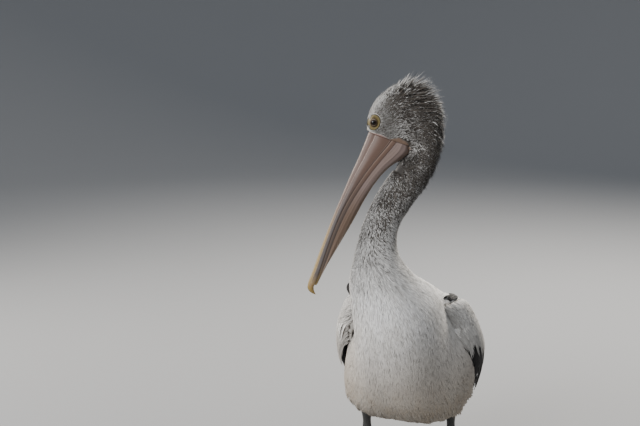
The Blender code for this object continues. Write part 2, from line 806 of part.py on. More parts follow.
def wing_pad(curves, side):
    """The thick part of the folded wing, from its upper edge to the feather roots."""
    places = np.array([0.0, 0.02, 0.06, 0.13, 0.25, 0.40, 0.56, 0.74, 0.92, 1.0])
    down = np.array([0.0, 0.03, 0.10, 0.22, 0.36, 0.47, PAD_END])
    u, v = np.meshgrid(places, down, indexing="ij")
    outer = wing_surface(curves, u, v)
    normal = wing_normal(curves, u, v, side)
    rear = 1 - round_over((1 - u) / 0.10)
    upper = 1 - round_over(v / 0.14)
    lower = 1 - round_over((PAD_END - v) / 0.08)
    sunk = wrist_turn(u) + 0.006 * rear + TOP_TURN * upper + 0.004 * lower
    outer = outer - normal * sunk[..., None]
    inward = roof_across(side)
    turned = np.clip(1 - v / 0.30, 0, 1)[..., None]
    inward = turned * inward - (1 - turned) * normal
    inward /= np.linalg.norm(inward, axis=-1, keepdims=True)
    deep = 0.010 + (ROOF_DEEP - ROOF_LESS * u) * np.clip((0.42 - v) / 0.25, 0, 1)
    inner = outer + inward * (deep * (1 - 0.5 * wrist_turn(u) / WRIST_TURN))[..., None]
    return slab("wing_" + side, outer, inner, "white")


def make_wing(side):
    draw = random.Random(SEED + len(side))
    curves = wing_curves(side)
    wing = wing_pad(curves, side)
    vanes = scapular_vanes(curves, side, draw)
    for tier in TIERS:
        vanes += tier_vanes(curves, side, tier, draw)
    join(wing, vanes, "MANIFOLD")
    cut(wing, torso_cutter())
    keep_largest(wing)


# Tail


def make_tail():
    rings = body_ring(np.linspace(knot("tail_pad"), knot("tail_root"), 5), 20)
    step = rings[-2].mean(axis=0) - rings[-1].mean(axis=0)
    rings[-1] = rings[-1] + step / np.linalg.norm(step) * GAP / 2
    core = loft("tail", rings, "black")
    vanes = []
    share = np.array([0.0, 0.30, 0.68, 0.92, 1.0])
    shape = np.array([0.7, 0.95, 1.0, 0.72, 0.25])
    for number in range(TAIL_VANES):
        span = 2 * number / (TAIL_VANES - 1) - 1
        long = TAIL_LONG * (1 - 0.22 * span**2)
        path = np.stack(
            [
                span * (0.024 + 0.052 * share),
                0.374 + long * share,
                0.3345 - 0.012 * share - 0.012 * span**2 * share - 0.0022 * abs(span),
            ],
            axis=1,
        )
        normals = np.tile([0.20 * span, 0.0, 1.0], (len(share), 1))
        normals /= np.linalg.norm(normals, axis=1, keepdims=True)
        lean = VANE_TILT * 0.8 * (1 if span <= 0 else -1)
        thick = np.full(len(share), VANE_THICK) * np.array([1.4, 1, 1, 0.9, 0.65])
        vanes.append(vane("tail_vane", path, normals, TAIL_WIDE * shape, thick, lean, "black"))
    join(core, vanes, "MANIFOLD")
    keep_largest(core)


# Legs and feet


def tube(name, centres, halves, sides, colour, collection=BIRD):
    """A closed tube through level rings: half sizes are (across, fore and aft)."""
    turn = np.linspace(0, 2 * np.pi, sides, endpoint=False)
    rings = []
    for centre, (across, along) in zip(centres, halves):
        ring = np.stack([across * np.cos(turn), along * np.sin(turn), 0 * turn], axis=1)
        rings.append(np.array(centre) + ring)
    return loft(name, rings, colour, collection)


def between(low, high, z):
    low, high = np.array(low), np.array(high)
    return low + (high - low) * (z - low[2]) / (high[2] - low[2])


def make_leg(side):
    top, hock, toes = LEGS[side]
    heights = (0.230, 0.200, 0.178, THIGH_END)
    halves = ((0.026, 0.032), (0.022, 0.027), (0.017, 0.020), (0.0135, 0.0155))
    thigh = tube(
        "thigh_" + side, [between(hock, top, z) for z in heights], halves, 16, "leg"
    )
    cut(thigh, torso_cutter())
    keep_largest(thigh)
    centres = [
        between(hock, top, THIGH_END - GAP),
        between(hock, top, 0.146),
        between(hock, top, 0.134),
        np.array(hock),
        between(toes, hock, 0.107),
        between(toes, hock, 0.082),
        between(toes, hock, 0.055),
        between(toes, hock, 0.040),
        between(toes, hock, FOOT_TOP + GAP),
    ]
    halves = (
        (0.0115, 0.0130), (0.0115, 0.0130), (0.0130, 0.0150), (0.0140, 0.0165),
        (0.0110, 0.0145), (0.0085, 0.0120), (0.0085, 0.0120), (0.0100, 0.0130), (0.0110, 0.0135),
    )
    tube("shank_" + side, centres, halves, 12, "leg")


def toe_direction(side, angle):
    turn = math.radians(TOE_OUT) * (1 if side == "left" else -1)
    lean = math.radians(angle) * (-1 if side == "left" else 1)
    heading = turn + lean
    return np.array([math.sin(heading), -math.cos(heading), 0.0])


def toe_rings(root, direction, long, half, high):
    """Rings along a toe with knuckles, flat under the sole."""
    across = np.array([direction[1], -direction[0], 0.0])
    turn = np.linspace(0, 2 * np.pi, 8, endpoint=False) + np.pi / 8
    rings = []
    for share in np.linspace(0, 1, 5):
        knuckle = 1 + 0.10 * math.cos(share * 3 * 2 * math.pi)
        size = (1 - 0.38 * share) * knuckle
        centre = root + direction * long * share
        lift = high * (1 - 0.42 * share) * knuckle
        rise = np.clip(np.sin(turn) * 0.75 + 0.25, 0.0, None)
        ring = centre + np.outer(np.cos(turn) * half * size, across)
        ring[:, 2] = rise * lift
        rings.append(ring)
    return rings


def web(side, root):
    """One sheet of skin across all four toes, its edge drawn back between each pair."""
    order = ("outer", "middle", "inner", "hind")
    ends = [toe_direction(side, TOES[name][0]) * TOES[name][1] for name in order]
    cross = np.linspace(0, len(order) - 1, 10)
    share, cross = np.meshgrid(np.linspace(0.04, 0.93, 3), cross, indexing="ij")
    first = np.clip(cross.astype(int), 0, len(order) - 2)
    part = (cross - first)[..., None]
    ends = np.array(ends)
    edge = (1 - part) * ends[first] + part * ends[first + 1]
    drawn = 1 - 0.24 * 4 * part * (1 - part)
    points = root + share[..., None] * drawn * edge
    low, high = points.copy(), points.copy()
    low[..., 2] = 0.0006
    high[..., 2] = WEB_THICK
    return slab("web", high, low, "leg")


def make_foot(side):
    root = np.array([LEGS[side][2][0], LEGS[side][2][1] - 0.004, 0.0])
    centres = [
        np.array(LEGS[side][2]) * (1, 1, 0) + (0, 0, FOOT_TOP),
        np.array(LEGS[side][2]) * (1, 1, 0) + (0, -0.001, 0.018),
        root + (0, 0, 0.008),
        root + (0, 0, 0.0),
    ]
    halves = ((0.0110, 0.0135), (0.0125, 0.0150), (0.0150, 0.0170), (0.0130, 0.0150))
    foot = tube("foot_" + side, centres, halves, 12, "leg")
    pieces = []
    for name, (angle, long, half, high) in TOES.items():
        rings = toe_rings(root, toe_direction(side, angle), long, half, high)
        pieces.append(loft("toe_" + name, rings, "leg"))
    pieces.append(web(side, root))
    join(foot, pieces)
    keep_largest(foot)
    for name, (angle, long, half, high) in TOES.items():
        make_claw(side, name, root, angle, long, half, high)


def make_claw(side, name, root, angle, long, half, high):
    """A blunt nail that starts where its toe ends and curves down to the floor."""
    direction = toe_direction(side, angle)
    across = np.array([direction[1], -direction[0], 0.0])
    turn = np.linspace(0, 2 * np.pi, 6, endpoint=False)
    rings = []
    for share in np.linspace(0, 1, 4):
        centre = root + direction * (long + GAP + CLAW_LONG * share)
        size = half * 0.55 * (1 - 0.80 * share)
        tall = high * 0.26 * (1 - 0.80 * share)
        ring = centre + np.outer(np.cos(turn) * size, across)
        ring[:, 2] = 0.0006 + high * 0.28 * (1 - share**2) + (np.sin(turn) + 1) * tall
        rings.append(ring)
    loft("claw_" + name + "_" + side, rings, "claw")


make_flesh()
make_eyes()
for each_node in HACKLE_ROWS:
    make_hackles(each_node)
make_bill()
make_tail()
for each_side in ("left", "right"):
    make_wing(each_side)
    make_leg(each_side)
    make_foot(each_side)
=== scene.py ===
import math

import bpy
import numpy as np
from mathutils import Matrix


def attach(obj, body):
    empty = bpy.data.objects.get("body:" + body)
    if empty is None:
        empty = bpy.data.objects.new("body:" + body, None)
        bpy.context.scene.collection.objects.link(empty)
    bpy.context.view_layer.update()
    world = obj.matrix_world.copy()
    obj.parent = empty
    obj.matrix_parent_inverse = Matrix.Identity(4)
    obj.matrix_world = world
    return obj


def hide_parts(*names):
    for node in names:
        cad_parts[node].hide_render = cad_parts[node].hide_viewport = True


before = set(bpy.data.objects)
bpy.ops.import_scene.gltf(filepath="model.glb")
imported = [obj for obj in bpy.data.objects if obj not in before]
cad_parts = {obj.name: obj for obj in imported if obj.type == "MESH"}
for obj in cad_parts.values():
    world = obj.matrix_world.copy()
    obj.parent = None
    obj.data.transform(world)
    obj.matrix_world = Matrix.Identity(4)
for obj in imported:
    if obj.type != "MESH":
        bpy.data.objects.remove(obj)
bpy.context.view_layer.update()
print("frame loaded")

# The body's own frame is moved by this to stand the whole bird over the origin
bodyShift = np.array([0.007, -0.129, 0.0])
chance = np.random.default_rng(20)
outwards = {"left": 1, "right": -1}  # the sign of x out from the body
slopeStep = 0.0015  # metres along the loft, or radians round it, over which slopes are taken


# Shader sockets as Python values


class Shade:
    # One output socket; plus, minus, times and divided by add Math nodes
    def __init__(self, paint, socket):
        self.paint = paint
        self.socket = socket

    def combine(self, how, first, second):
        return self.paint.node("ShaderNodeMath", {"operation": how}, {0: first, 1: second})

    def __add__(self, other):
        return self.combine("ADD", self, other)

    def __radd__(self, other):
        return self.combine("ADD", other, self)

    def __sub__(self, other):
        return self.combine("SUBTRACT", self, other)

    def __rsub__(self, other):
        return self.combine("SUBTRACT", other, self)

    def __mul__(self, other):
        return self.combine("MULTIPLY", self, other)

    def __rmul__(self, other):
        return self.combine("MULTIPLY", other, self)

    def __truediv__(self, other):
        return self.combine("DIVIDE", self, other)


class Paint:
    # One material, its shader and the nodes that feed it
    def __init__(self, name, roughness, fixed=None):
        self.material = bpy.data.materials.new(name)
        self.material.use_nodes = True
        self.tree = self.material.node_tree
        self.shader = self.tree.nodes["Principled BSDF"]
        self.shader.inputs["Roughness"].default_value = roughness
        for label, value in (fixed or {}).items():
            self.shader.inputs[label].default_value = value

    def node(self, kind, settings=None, inputs=None, output=0):
        made = self.tree.nodes.new(kind)
        for name, value in (settings or {}).items():
            setattr(made, name, value)
        for name, value in (inputs or {}).items():
            if isinstance(value, Shade):
                self.tree.links.new(value.socket, made.inputs[name])
            else:
                made.inputs[name].default_value = value
        return Shade(self, made.outputs[output])

    def feed(self, socket, value):
        self.tree.links.new(value.socket, self.shader.inputs[socket])

    def attribute(self, name):
        return self.node("ShaderNodeAttribute", {"attribute_name": name}, output="Fac")

    def place(self):
        return self.node("ShaderNodeTexCoord", output="Object")

    def axis(self, name):
        return self.node("ShaderNodeSeparateXYZ", inputs={0: self.place()}, output=name)

    def noise(self, scale, detail=3.0):
        sockets = {"Vector": self.place(), "Scale": scale, "Detail": detail, "Roughness": 0.55}
        return self.node("ShaderNodeTexNoise", inputs=sockets, output="Fac")

    def mix(self, share, first, second):
        first = (*first, 1.0) if isinstance(first, tuple) else first
        second = (*second, 1.0) if isinstance(second, tuple) else second
        return self.node("ShaderNodeMix", {"data_type": "RGBA"}, {0: share, 6: first, 7: second}, output=2)

    def ramp(self, value, low, high):
        # 0 below low, 1 above high, smooth between
        sockets = {"Value": value, "From Min": low, "From Max": high}
        return self.node("ShaderNodeMapRange", {"interpolation_type": "SMOOTHSTEP"}, sockets)

    def wave(self, value):
        return self.node("ShaderNodeMath", {"operation": "SINE"}, {0: value})

    def bump(self, height, distance, strength=1.0):
        sockets = {"Height": height, "Distance": distance, "Strength": strength}
        self.feed("Normal", self.node("ShaderNodeBump", inputs=sockets))


# Meshes from whole arrays


def gridQuads(rows, columns, closed=False):
    # Quads of a grid of points; closed joins the last column to the first
    last = columns if closed else columns - 1
    row, column = np.meshgrid(np.arange(rows - 1), np.arange(last), indexing="ij")
    first = row * columns + column
    second = row * columns + (column + 1) % columns
    return np.stack([first, second, second + columns, first + columns], axis=-1).reshape(-1, 4)


def facingOut(points, quads, triangles):
    # Flips the faces where the volume within them, a sixth of the sum of each triangle's
    # corners' box product, comes out negative
    middle = points - points.mean(axis=0)
    three = np.concatenate([quads[:, :3], quads[:, [0, 2, 3]], triangles])
    a, b, c = (middle[three[:, k]] for k in range(3))
    if np.einsum("ij,ij->i", a, np.cross(b, c)).sum() < 0:
        return quads[:, ::-1], triangles[:, ::-1]
    return quads, triangles


def meshPiece(name, points, quads, paint, triangles=None, bake=None, values=None, shading=None):
    # A finished piece: bake is its atlas, values its named numbers, shading its normals
    points = np.asarray(points, float).reshape(-1, 3)
    triangles = np.zeros((0, 3), int) if triangles is None else np.asarray(triangles, int)
    quads, triangles = facingOut(points, np.asarray(quads, int).reshape(-1, 4), triangles)
    corners = np.concatenate([quads.ravel(), triangles.ravel()])
    starts = np.concatenate([np.arange(len(quads)) * 4, quads.size + np.arange(len(triangles)) * 3])
    mesh = bpy.data.meshes.new(name)
    mesh.vertices.add(len(points))
    mesh.vertices.foreach_set("co", (points + bodyShift).ravel())
    mesh.loops.add(len(corners))
    mesh.loops.foreach_set("vertex_index", corners)
    mesh.polygons.add(len(starts))
    mesh.polygons.foreach_set("loop_start", starts)
    mesh.update(calc_edges=True)
    mesh.shade_smooth()
    if bake is not None:
        layer = mesh.uv_layers.new(name="OFBake")
        layer.uv.foreach_set("vector", np.asarray(bake, float).reshape(-1, 2)[corners].ravel())
    for label, value in (values or {}).items():
        made = mesh.attributes.new(label, "FLOAT", "POINT")
        made.data.foreach_set("value", np.asarray(value, float).ravel())
    if shading is not None:
        made = mesh.attributes.new("custom_normal", "FLOAT_VECTOR", "POINT")
        made.data.foreach_set("vector", np.asarray(shading, float).ravel())
    mesh.materials.append(paint.material)
    piece = bpy.data.objects.new(name, mesh)
    bpy.context.scene.collection.objects.link(piece)
    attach(piece, "root")
    return piece


def tube(rings):
    # Points, side quads and end fans of a closed tube through rings (count, sides, 3)
    count, sides = rings.shape[:2]
    points = np.concatenate([rings.reshape(-1, 3), rings[0].mean(axis=0)[None], rings[-1].mean(axis=0)[None]])
    index = np.arange(sides)
    after = (index + 1) % sides
    near, far = count * sides, count * sides + 1
    start = np.stack([after, index, np.full(sides, near)], axis=1)
    last = (count - 1) * sides
    end = np.stack([last + index, last + after, np.full(sides, far)], axis=1)
    return points, gridQuads(count, sides, closed=True), np.concatenate([start, end])


def joined(parts):
    # Several closed (points, quads, triangles) as one, each with its faces pointing out
    points, quads, triangles, base = [], [], [], 0
    for some, four, three in parts:
        four, three = facingOut(some, four, three)
        points.append(some)
        quads.append(four + base)
        triangles.append(three + base)
        base += len(some)
    return np.concatenate(points), np.concatenate(quads), np.concatenate(triangles)


def blend(ends, share):
    return ends[0] + (ends[1] - ends[0]) * share


def unit(vectors):
    return vectors / (np.linalg.norm(vectors, axis=-1, keepdims=True) + 1e-12)


def smoothStep(x):
    x = np.clip(x, 0, 1)
    return x * x * (3 - 2 * x)


def smoothThrough(values, knots, at):
    # Cubic Hermite spans: each blends its two end values and their central-difference slopes
    values, knots, at = (np.asarray(v, float) for v in (values, knots, at))
    slopes = np.gradient(values, knots, axis=0)
    at = np.clip(at, knots[0], knots[-1])
    index = np.clip(np.searchsorted(knots, at, side="right") - 1, 0, len(knots) - 2)
    span = knots[index + 1] - knots[index]
    t = (at - knots[index]) / span
    shape = at.shape + (1,) * (values.ndim - 1)
    t, span = t.reshape(shape), span.reshape(shape)
    return (
        (2 * t**3 - 3 * t**2 + 1) * values[index]
        + (t**3 - 2 * t**2 + t) * slopes[index] * span
        + (-2 * t**3 + 3 * t**2) * values[index + 1]
        + (t**3 - t**2) * slopes[index + 1] * span
    )


def ripple(points, wavelength, seed):
    # A soft wandering field in -1..1: the mean of four sine waves in mixed directions
    draw = np.random.default_rng(seed)
    waves = unit(draw.normal(size=(4, 3))) * 2 * np.pi / wavelength
    waves *= draw.uniform(0.7, 1.4, size=(4, 1))
    return np.sin(points @ waves.T + draw.uniform(0, 6.28, 4)).mean(axis=-1) * 1.6


# The body's loft, station by station: centre, yaw, pitch, roll, half width, height, depth

bodyStations = {
    "tailRoot": ((0.000, 0.362, 0.334), 0, 14, 0, 0.038, 0.016, 0.017),
    "rump": ((0.000, 0.302, 0.345), 0, 20, 0, 0.078, 0.046, 0.070),
    "loin": ((0.002, 0.212, 0.350), 0, 20, 0, 0.136, 0.112, 0.144),
    "hip": ((0.005, 0.115, 0.350), 0, 20, 0, 0.171, 0.170, 0.176),
    "belly": ((0.008, 0.010, 0.354), 0, 24, 0, 0.172, 0.210, 0.170),
    "breast": ((0.029, -0.084, 0.420), 0, 38, 0, 0.120, 0.183, 0.176),
    "shoulder": ((0.031, -0.144, 0.528), 0, 60, 0, 0.098, 0.122, 0.145),
    "neckRoot": ((0.004, -0.170, 0.605), 5, 77, 0, 0.080, 0.080, 0.081),
    "neckLow": ((-0.008, -0.177, 0.668), 14, 86, 0, 0.054, 0.053, 0.056),
    "neckMiddle": ((-0.004, -0.163, 0.740), 28, 95, 0, 0.043, 0.045, 0.043),
    "neckBend": ((0.018, -0.140, 0.803), 44, 110, 2, 0.042, 0.049, 0.041),
    "neckHigh": ((0.050, -0.116, 0.862), 58, 120, 6, 0.040, 0.046, 0.039),
}
# The head's stations fan round the throat: face end and crown end (forward, up), half width, in mm
headStations = {
    "napeLow": ((14, -1), (-34, -70), 38),
    "nape": ((10, 6), (-74, -56), 37),
    "occiput": ((14, 12), (-116, -28), 37),
    "crownBack": ((20, 24), (-138, 20), 38),
    "crown": ((20, 40), (-138, 66), 38),
    "crownFront": ((20, 58), (-112, 101), 36),
    "brow": ((18, 76), (-76, 121), 32),
    "forehead": ((12, 92), (-42, 124), 24),
    "lore": ((6, 103), (-12, 118), 12),
}
headPose = {"throat": (0.050, -0.112, 0.937), "yaw": 66.0, "pitch": -70.0, "roll": 12.0}


def bodyAxes(yaw, pitch, roll):
    # Unit vectors along the body, to its back and to its left
    yaw, pitch, roll = (math.radians(v) for v in (yaw, pitch, roll))
    heading = np.array([-math.sin(yaw), -math.cos(yaw), 0.0])
    up = np.array([0.0, 0.0, 1.0])
    along = math.cos(pitch) * heading + math.sin(pitch) * up
    back = math.cos(pitch) * up - math.sin(pitch) * heading
    left = np.array([math.cos(yaw), -math.sin(yaw), 0.0])
    return along, math.cos(roll) * back + math.sin(roll) * left, math.cos(roll) * left - math.sin(roll) * back


headAlong, headUp, headLeft = bodyAxes(headPose["yaw"], headPose["pitch"], headPose["roll"])
headAxes = np.array([headAlong, headUp, headLeft])
throat = np.array(headPose["throat"])


def headPoint(forward, up, left):
    # A place in the head's frame, in mm, as a point in the body's frame
    return throat + np.stack(np.broadcast_arrays(forward, up, left), axis=-1) @ headAxes * 0.001


def inHead(points):
    # Back to (forward, up, left) in mm
    return (points - throat) @ headAxes.T * 1000


def loftRows():
    rows = []
    for centre, yaw, pitch, roll, half, high, deep in bodyStations.values():
        _, back, left = bodyAxes(yaw, pitch, roll)
        rows.append((np.array(centre), back * high, -back * deep, left * half))
    for face, crown, half in headStations.values():
        low, top = headPoint(*face, 0), headPoint(*crown, 0)
        middle = (low + top) / 2
        rows.append((middle, top - middle, low - middle, headLeft * half * 0.001))
    return np.array(rows)


loftNames = list(bodyStations) + list(headStations)
loft = loftRows()
# Lengths along the loft are measured on a line 0.6 of the way from its centre to the back
backLine = loft[:, 0] + 0.6 * loft[:, 1]
loftKnots = np.concatenate([[0.0], np.cumsum(np.linalg.norm(np.diff(backLine, axis=0), axis=1))])
loftLength = loftKnots[-1]


def knot(name):
    return loftKnots[loftNames.index(name)]


# The cross-section's power, where 2 is an ellipse: about the hip the belly is squarer and the
# back narrower
section = {"power": 2.05, "belly": 1.40, "back": 0.38, "pastHip": 0.03, "reach": 0.15}
# Where the bill's base stops the head's front, in the head's frame, mm
faceStop = {"forward": -4.4, "low": 3.0, "fade": 4.0}


def bodySurface(at, turn, depth=0.0):
    # Centre + up * back + down * belly + across * side, where up and down are |cos| and across
    # is |sin| to a power; depth sinks it
    rows = smoothThrough(loft, loftKnots, at)
    centre, back, belly, side = (rows[..., k, :] for k in range(4))
    swell = np.exp(-(((at - knot("hip") - section["pastHip"]) / section["reach"]) ** 2))
    cosine, sine = np.cos(turn), np.sin(turn)
    below = 2 / (section["power"] + section["belly"] * swell)
    power = np.where(cosine < 0, below, 2 / (section["power"] - section["back"] * swell))
    rise = np.abs(cosine) ** power
    spread = np.sign(sine) * np.abs(sine) ** power
    depth = np.broadcast_to(depth, at.shape)[..., None]
    shrunk = [v * (1 - depth / np.linalg.norm(v, axis=-1, keepdims=True)) for v in (back, belly, side)]
    vertical = np.where((cosine >= 0)[..., None], shrunk[0], shrunk[1]) * rise[..., None]
    return pressFace(centre + vertical + shrunk[2] * spread[..., None], at)


def pressFace(points, at):
    # The head's front is pressed flat where the bill's base meets it
    forward, up, _ = np.moveaxis(inHead(points), -1, 0)
    onHead = smoothStep((at - knot("neckHigh")) / (knot("napeLow") - knot("neckHigh")))
    beside = smoothStep((up - faceStop["low"]) / faceStop["fade"])
    over = np.clip(forward - faceStop["forward"], 0, None) * beside * onHead
    return points - over[..., None] * headAlong * 0.001


def bodyFrame(at, turn, depth=0.0):
    # Point, outward normal and unit tangents towards the head and round the body
    here = bodySurface(at, turn, depth)
    ahead = unit(bodySurface(at + slopeStep, turn, depth) - bodySurface(at - slopeStep, turn, depth))
    swing = slopeStep / 0.06
    around = unit(bodySurface(at, turn + swing, depth) - bodySurface(at, turn - swing, depth))
    normal = unit(np.cross(around, ahead))
    centre = smoothThrough(loft[:, 0], loftKnots, at)
    normal *= np.sign((normal * (here - centre)).sum(axis=-1, keepdims=True))
    return here, normal, ahead, around


# How the coat grows at each station: tufts' length and width in mm, tufts per square cm, how far
# the tip stands off as a share of the length, sweep towards the back line in degrees, depth in
# mm, straying, and the length and width in mm of the feathers that the tufts gather into
growthColumns = ("long", "wide", "dense", "lift", "sweep", "deep", "stray", "rowLong", "featherWide")
coatGrowth = {
    "tailRoot": (46, 6.0, 5, 0.03, 0, 5, 0.05, 14, 12),
    "rump": (52, 5.6, 5, 0.03, 0, 8, 0.05, 16, 13),
    "loin": (62, 5.1, 4.6, 0.006, -8, 9, 0.06, 34, 9),
    "hip": (66, 4.6, 4.9, 0.005, -20, 9, 0.06, 36, 8),
    "belly": (66, 4.2, 5.9, 0.005, -30, 9, 0.06, 36, 7.5),
    "breast": (64, 3.9, 6.9, 0.005, -24, 8, 0.06, 34, 7),
    "shoulder": (56, 3.5, 8.8, 0.006, -4, 7, 0.06, 30, 6.5),
    "neckRoot": (42, 2.6, 13.5, 0.02, 18, 6, 0.07, 20, 6),
    "neckLow": (28, 2.1, 24, 0.06, 36, 5, 0.08, 9, 3.8),
    "neckMiddle": (19, 1.9, 32, 0.12, 44, 4.5, 0.12, 6, 3.4),
    "neckBend": (16, 1.8, 36, 0.16, 50, 4, 0.15, 5, 3.3),
    "neckHigh": (15, 1.8, 38, 0.20, 50, 4, 0.15, 5, 3.4),
    "napeLow": (16, 1.8, 38, 0.24, 48, 4, 0.15, 5, 3.8),
    "nape": (17, 1.9, 38, 0.26, 44, 4, 0.15, 6, 5.2),
    "occiput": (17, 1.9, 38, 0.26, 40, 4, 0.15, 6, 5.2),
    "crownBack": (17, 1.9, 38, 0.26, 36, 4, 0.15, 6, 5.2),
    "crown": (15, 1.8, 40, 0.24, 32, 3.5, 0.15, 5.5, 4.8),
    "crownFront": (11.5, 1.6, 44, 0.18, 28, 2.8, 0.12, 4.5, 3.8),
    "brow": (8, 1.45, 54, 0.12, 20, 2.0, 0.10, 3.2, 2.8),
    "forehead": (6, 1.3, 66, 0.09, 12, 1.5, 0.08, 2.6, 2.4),
    "lore": (5, 1.2, 72, 0.07, 6, 1.2, 0.08, 2.4, 2.2),
}
growthRows = np.array(list(coatGrowth.values()), float)


def growth(at, column):
    return np.interp(at, loftKnots, growthRows[:, growthColumns.index(column)])


def coatDepth(at):
    return growth(at, "deep") * 0.001


# How far up its length a feather is dark, from the back line (0) round to the throat (180 degrees)
marking = {
    "neckRoot": (0.00, 0.00, 0.00, 0.00, 0.00),
    "neckLow": (0.14, 0.14, 0.16, 0.34, 0.28),
    "neckMiddle": (0.42, 0.46, 0.54, 0.70, 0.60),
    "neckBend": (0.70, 0.72, 0.76, 0.80, 0.54),
    "neckHigh": (0.84, 0.86, 0.84, 0.82, 0.46),
    "napeLow": (0.94, 0.94, 0.90, 0.80, 0.42),
    "nape": (0.94, 0.96, 0.90, 0.66, 0.34),
    "occiput": (0.92, 0.98, 0.94, 0.62, 0.36),
    "crownBack": (0.88, 0.98, 0.90, 0.52, 0.32),
    "crown": (0.74, 0.96, 0.78, 0.32, 0.20),
    "crownFront": (0.40, 0.70, 0.54, 0.32, 0.30),
    # On the brow and lore the marks grey the short feathers: partly their own grey, partly painted shade
    "brow": (0.16, 0.32, 0.34, 0.32, 0.32),
    "lore": (0.14, 0.30, 0.32, 0.32, 0.32),
}


def darkness(at, turn):
    # The table above, straight between its stations and between its angles
    rows = np.array(list(marking.values()))
    row = np.interp(at, [knot(name) for name in marking], np.arange(len(rows)))
    column = np.degrees(np.abs((turn + np.pi) % (2 * np.pi) - np.pi)) / 45.0
    lowRow, lowColumn = np.clip(row.astype(int), 0, len(rows) - 2), np.clip(column.astype(int), 0, 3)
    down, across = row - lowRow, column - lowColumn
    near = rows[lowRow, lowColumn] * (1 - down) + rows[lowRow + 1, lowColumn] * down
    far = rows[lowRow, lowColumn + 1] * (1 - down) + rows[lowRow + 1, lowColumn + 1] * down
    return near * (1 - across) + far * across


# The line at which the feathers end against the bill: up and forward in the head's frame, then
# how softly they end and how low and far forward the bare skin goes, mm
featherLine = {
    "up": (-1, 17, 41, 63.5, 87, 118), "forward": (1.4, -11, -16.4, -4.5, -9, -5),
    "soft": 1.5, "low": -2.0, "front": 6.0,
}


def bareness(points, at):
    # 1 on the bare skin in front of that line, 0 under feathers
    forward, up, _ = np.moveaxis(inHead(points), -1, 0)
    line = np.interp(up, featherLine["up"], featherLine["forward"])
    onFace = (at > knot("neckHigh")) * (up > featherLine["low"]) * (forward < featherLine["front"])
    return smoothStep((forward - line) / featherLine["soft"]) * onFace


def skinUv(at, turn):
    # The unwrap of the skin: round the body across, tail to face up
    return np.stack([turn / (2 * np.pi) + 0.5, at / loftLength], axis=-1)


# Materials of the plumage

# Colours, then the heights in metres between which the white clears of the stain and painted shade
# low on the body, and how much patches, painted shade at the roots and streaks show
plumageHues = {
    "low": (0.31, 0.25, 0.185), "high": (0.75, 0.735, 0.715), "patch": (0.60, 0.56, 0.49),
    "root": (0.34, 0.325, 0.305), "streak": (0.34, 0.315, 0.28),
    "dark": (0.022, 0.018, 0.015), "darkWorn": (0.085, 0.072, 0.060),
    "pale": (0.58, 0.56, 0.53), "paleShaded": (0.17, 0.163, 0.152),
    "heights": (0.20, 0.60), "patchy": 0.24, "rootShade": 0.30, "streaked": 0.72,
}


def plumagePaint(name):
    # White feathers, warmer and greyer low on the body, partly a stain and partly painted shade, with dark
    # brown bases where marked
    hues = plumageHues
    paint = Paint(name, 0.72, {"Sheen Weight": 0.05, "Specular IOR Level": 0.15})
    tip, tone, mark = (paint.attribute(label) for label in ("tip", "tone", "mark"))
    # Warmer and darker low on the body: partly a stain, partly painted shade
    height = paint.ramp(paint.axis("Z"), *hues["heights"])
    white = paint.mix(height, hues["low"], hues["high"])
    patches = paint.ramp(paint.noise(14.0), 0.35, 0.7)
    white = paint.mix(patches * hues["patchy"], white, hues["patch"])
    # Darker towards each tuft's root: painted shade under the tufts lying over it
    rootShade = hues["rootShade"] - hues["rootShade"] * paint.ramp(tip, 0.1, 0.8)
    shaded = paint.mix(rootShade, white, hues["root"])
    # Tone greys the white by chance, and as painted shade at feather edges and over the face
    shaded = paint.mix(tone * hues["streaked"], shaded, hues["streak"])
    dark = paint.mix(tone, hues["dark"], hues["darkWorn"])
    # Grey-white marked feathers, darker with tone: partly their own grey, partly painted shade
    pale = paint.mix(tone, hues["pale"], hues["paleShaded"])
    pale = paint.mix(paint.ramp(mark, 0.02, 0.22), shaded, pale)
    cover = paint.ramp(mark * 1.12 - tip + (tone - 0.5) * 0.22, -0.06, 0.10)
    cover = cover * paint.ramp(mark, 0.01, 0.06)
    paint.feed("Base Color", paint.mix(cover, pale, dark))
    paint.bump(paint.noise(900.0, 2.0), 0.0002, 0.35)
    return paint


plumage = plumagePaint("plumage")

downHues = {
    "down": (0.42, 0.40, 0.37), "deep": (0.33, 0.315, 0.29), "marked": (0.035, 0.030, 0.026),
    "bare": (0.20, 0.13, 0.09), "bareDeep": (0.14, 0.09, 0.062), "bareBrow": (0.26, 0.165, 0.14),
}


def skinPaint():
    # Seen only between the feathers: down greyed as painted shade, in the same markings
    hues = downHues
    paint = Paint("down_under_coat", 0.9)
    mark = paint.attribute("mark")
    down = paint.mix(paint.noise(120.0), hues["down"], hues["deep"])
    down = paint.mix(paint.ramp(mark, 0.25, 0.75), down, hues["marked"])
    naked = paint.mix(paint.noise(60.0), hues["bare"], hues["bareDeep"])
    naked = paint.mix(paint.ramp(paint.attribute("high"), 0.56, 0.66), naked, hues["bareBrow"])
    paint.feed("Base Color", paint.mix(paint.attribute("bare"), down, naked))
    paint.bump(paint.noise(400.0), 0.0006, 0.6)
    return paint


# Skin

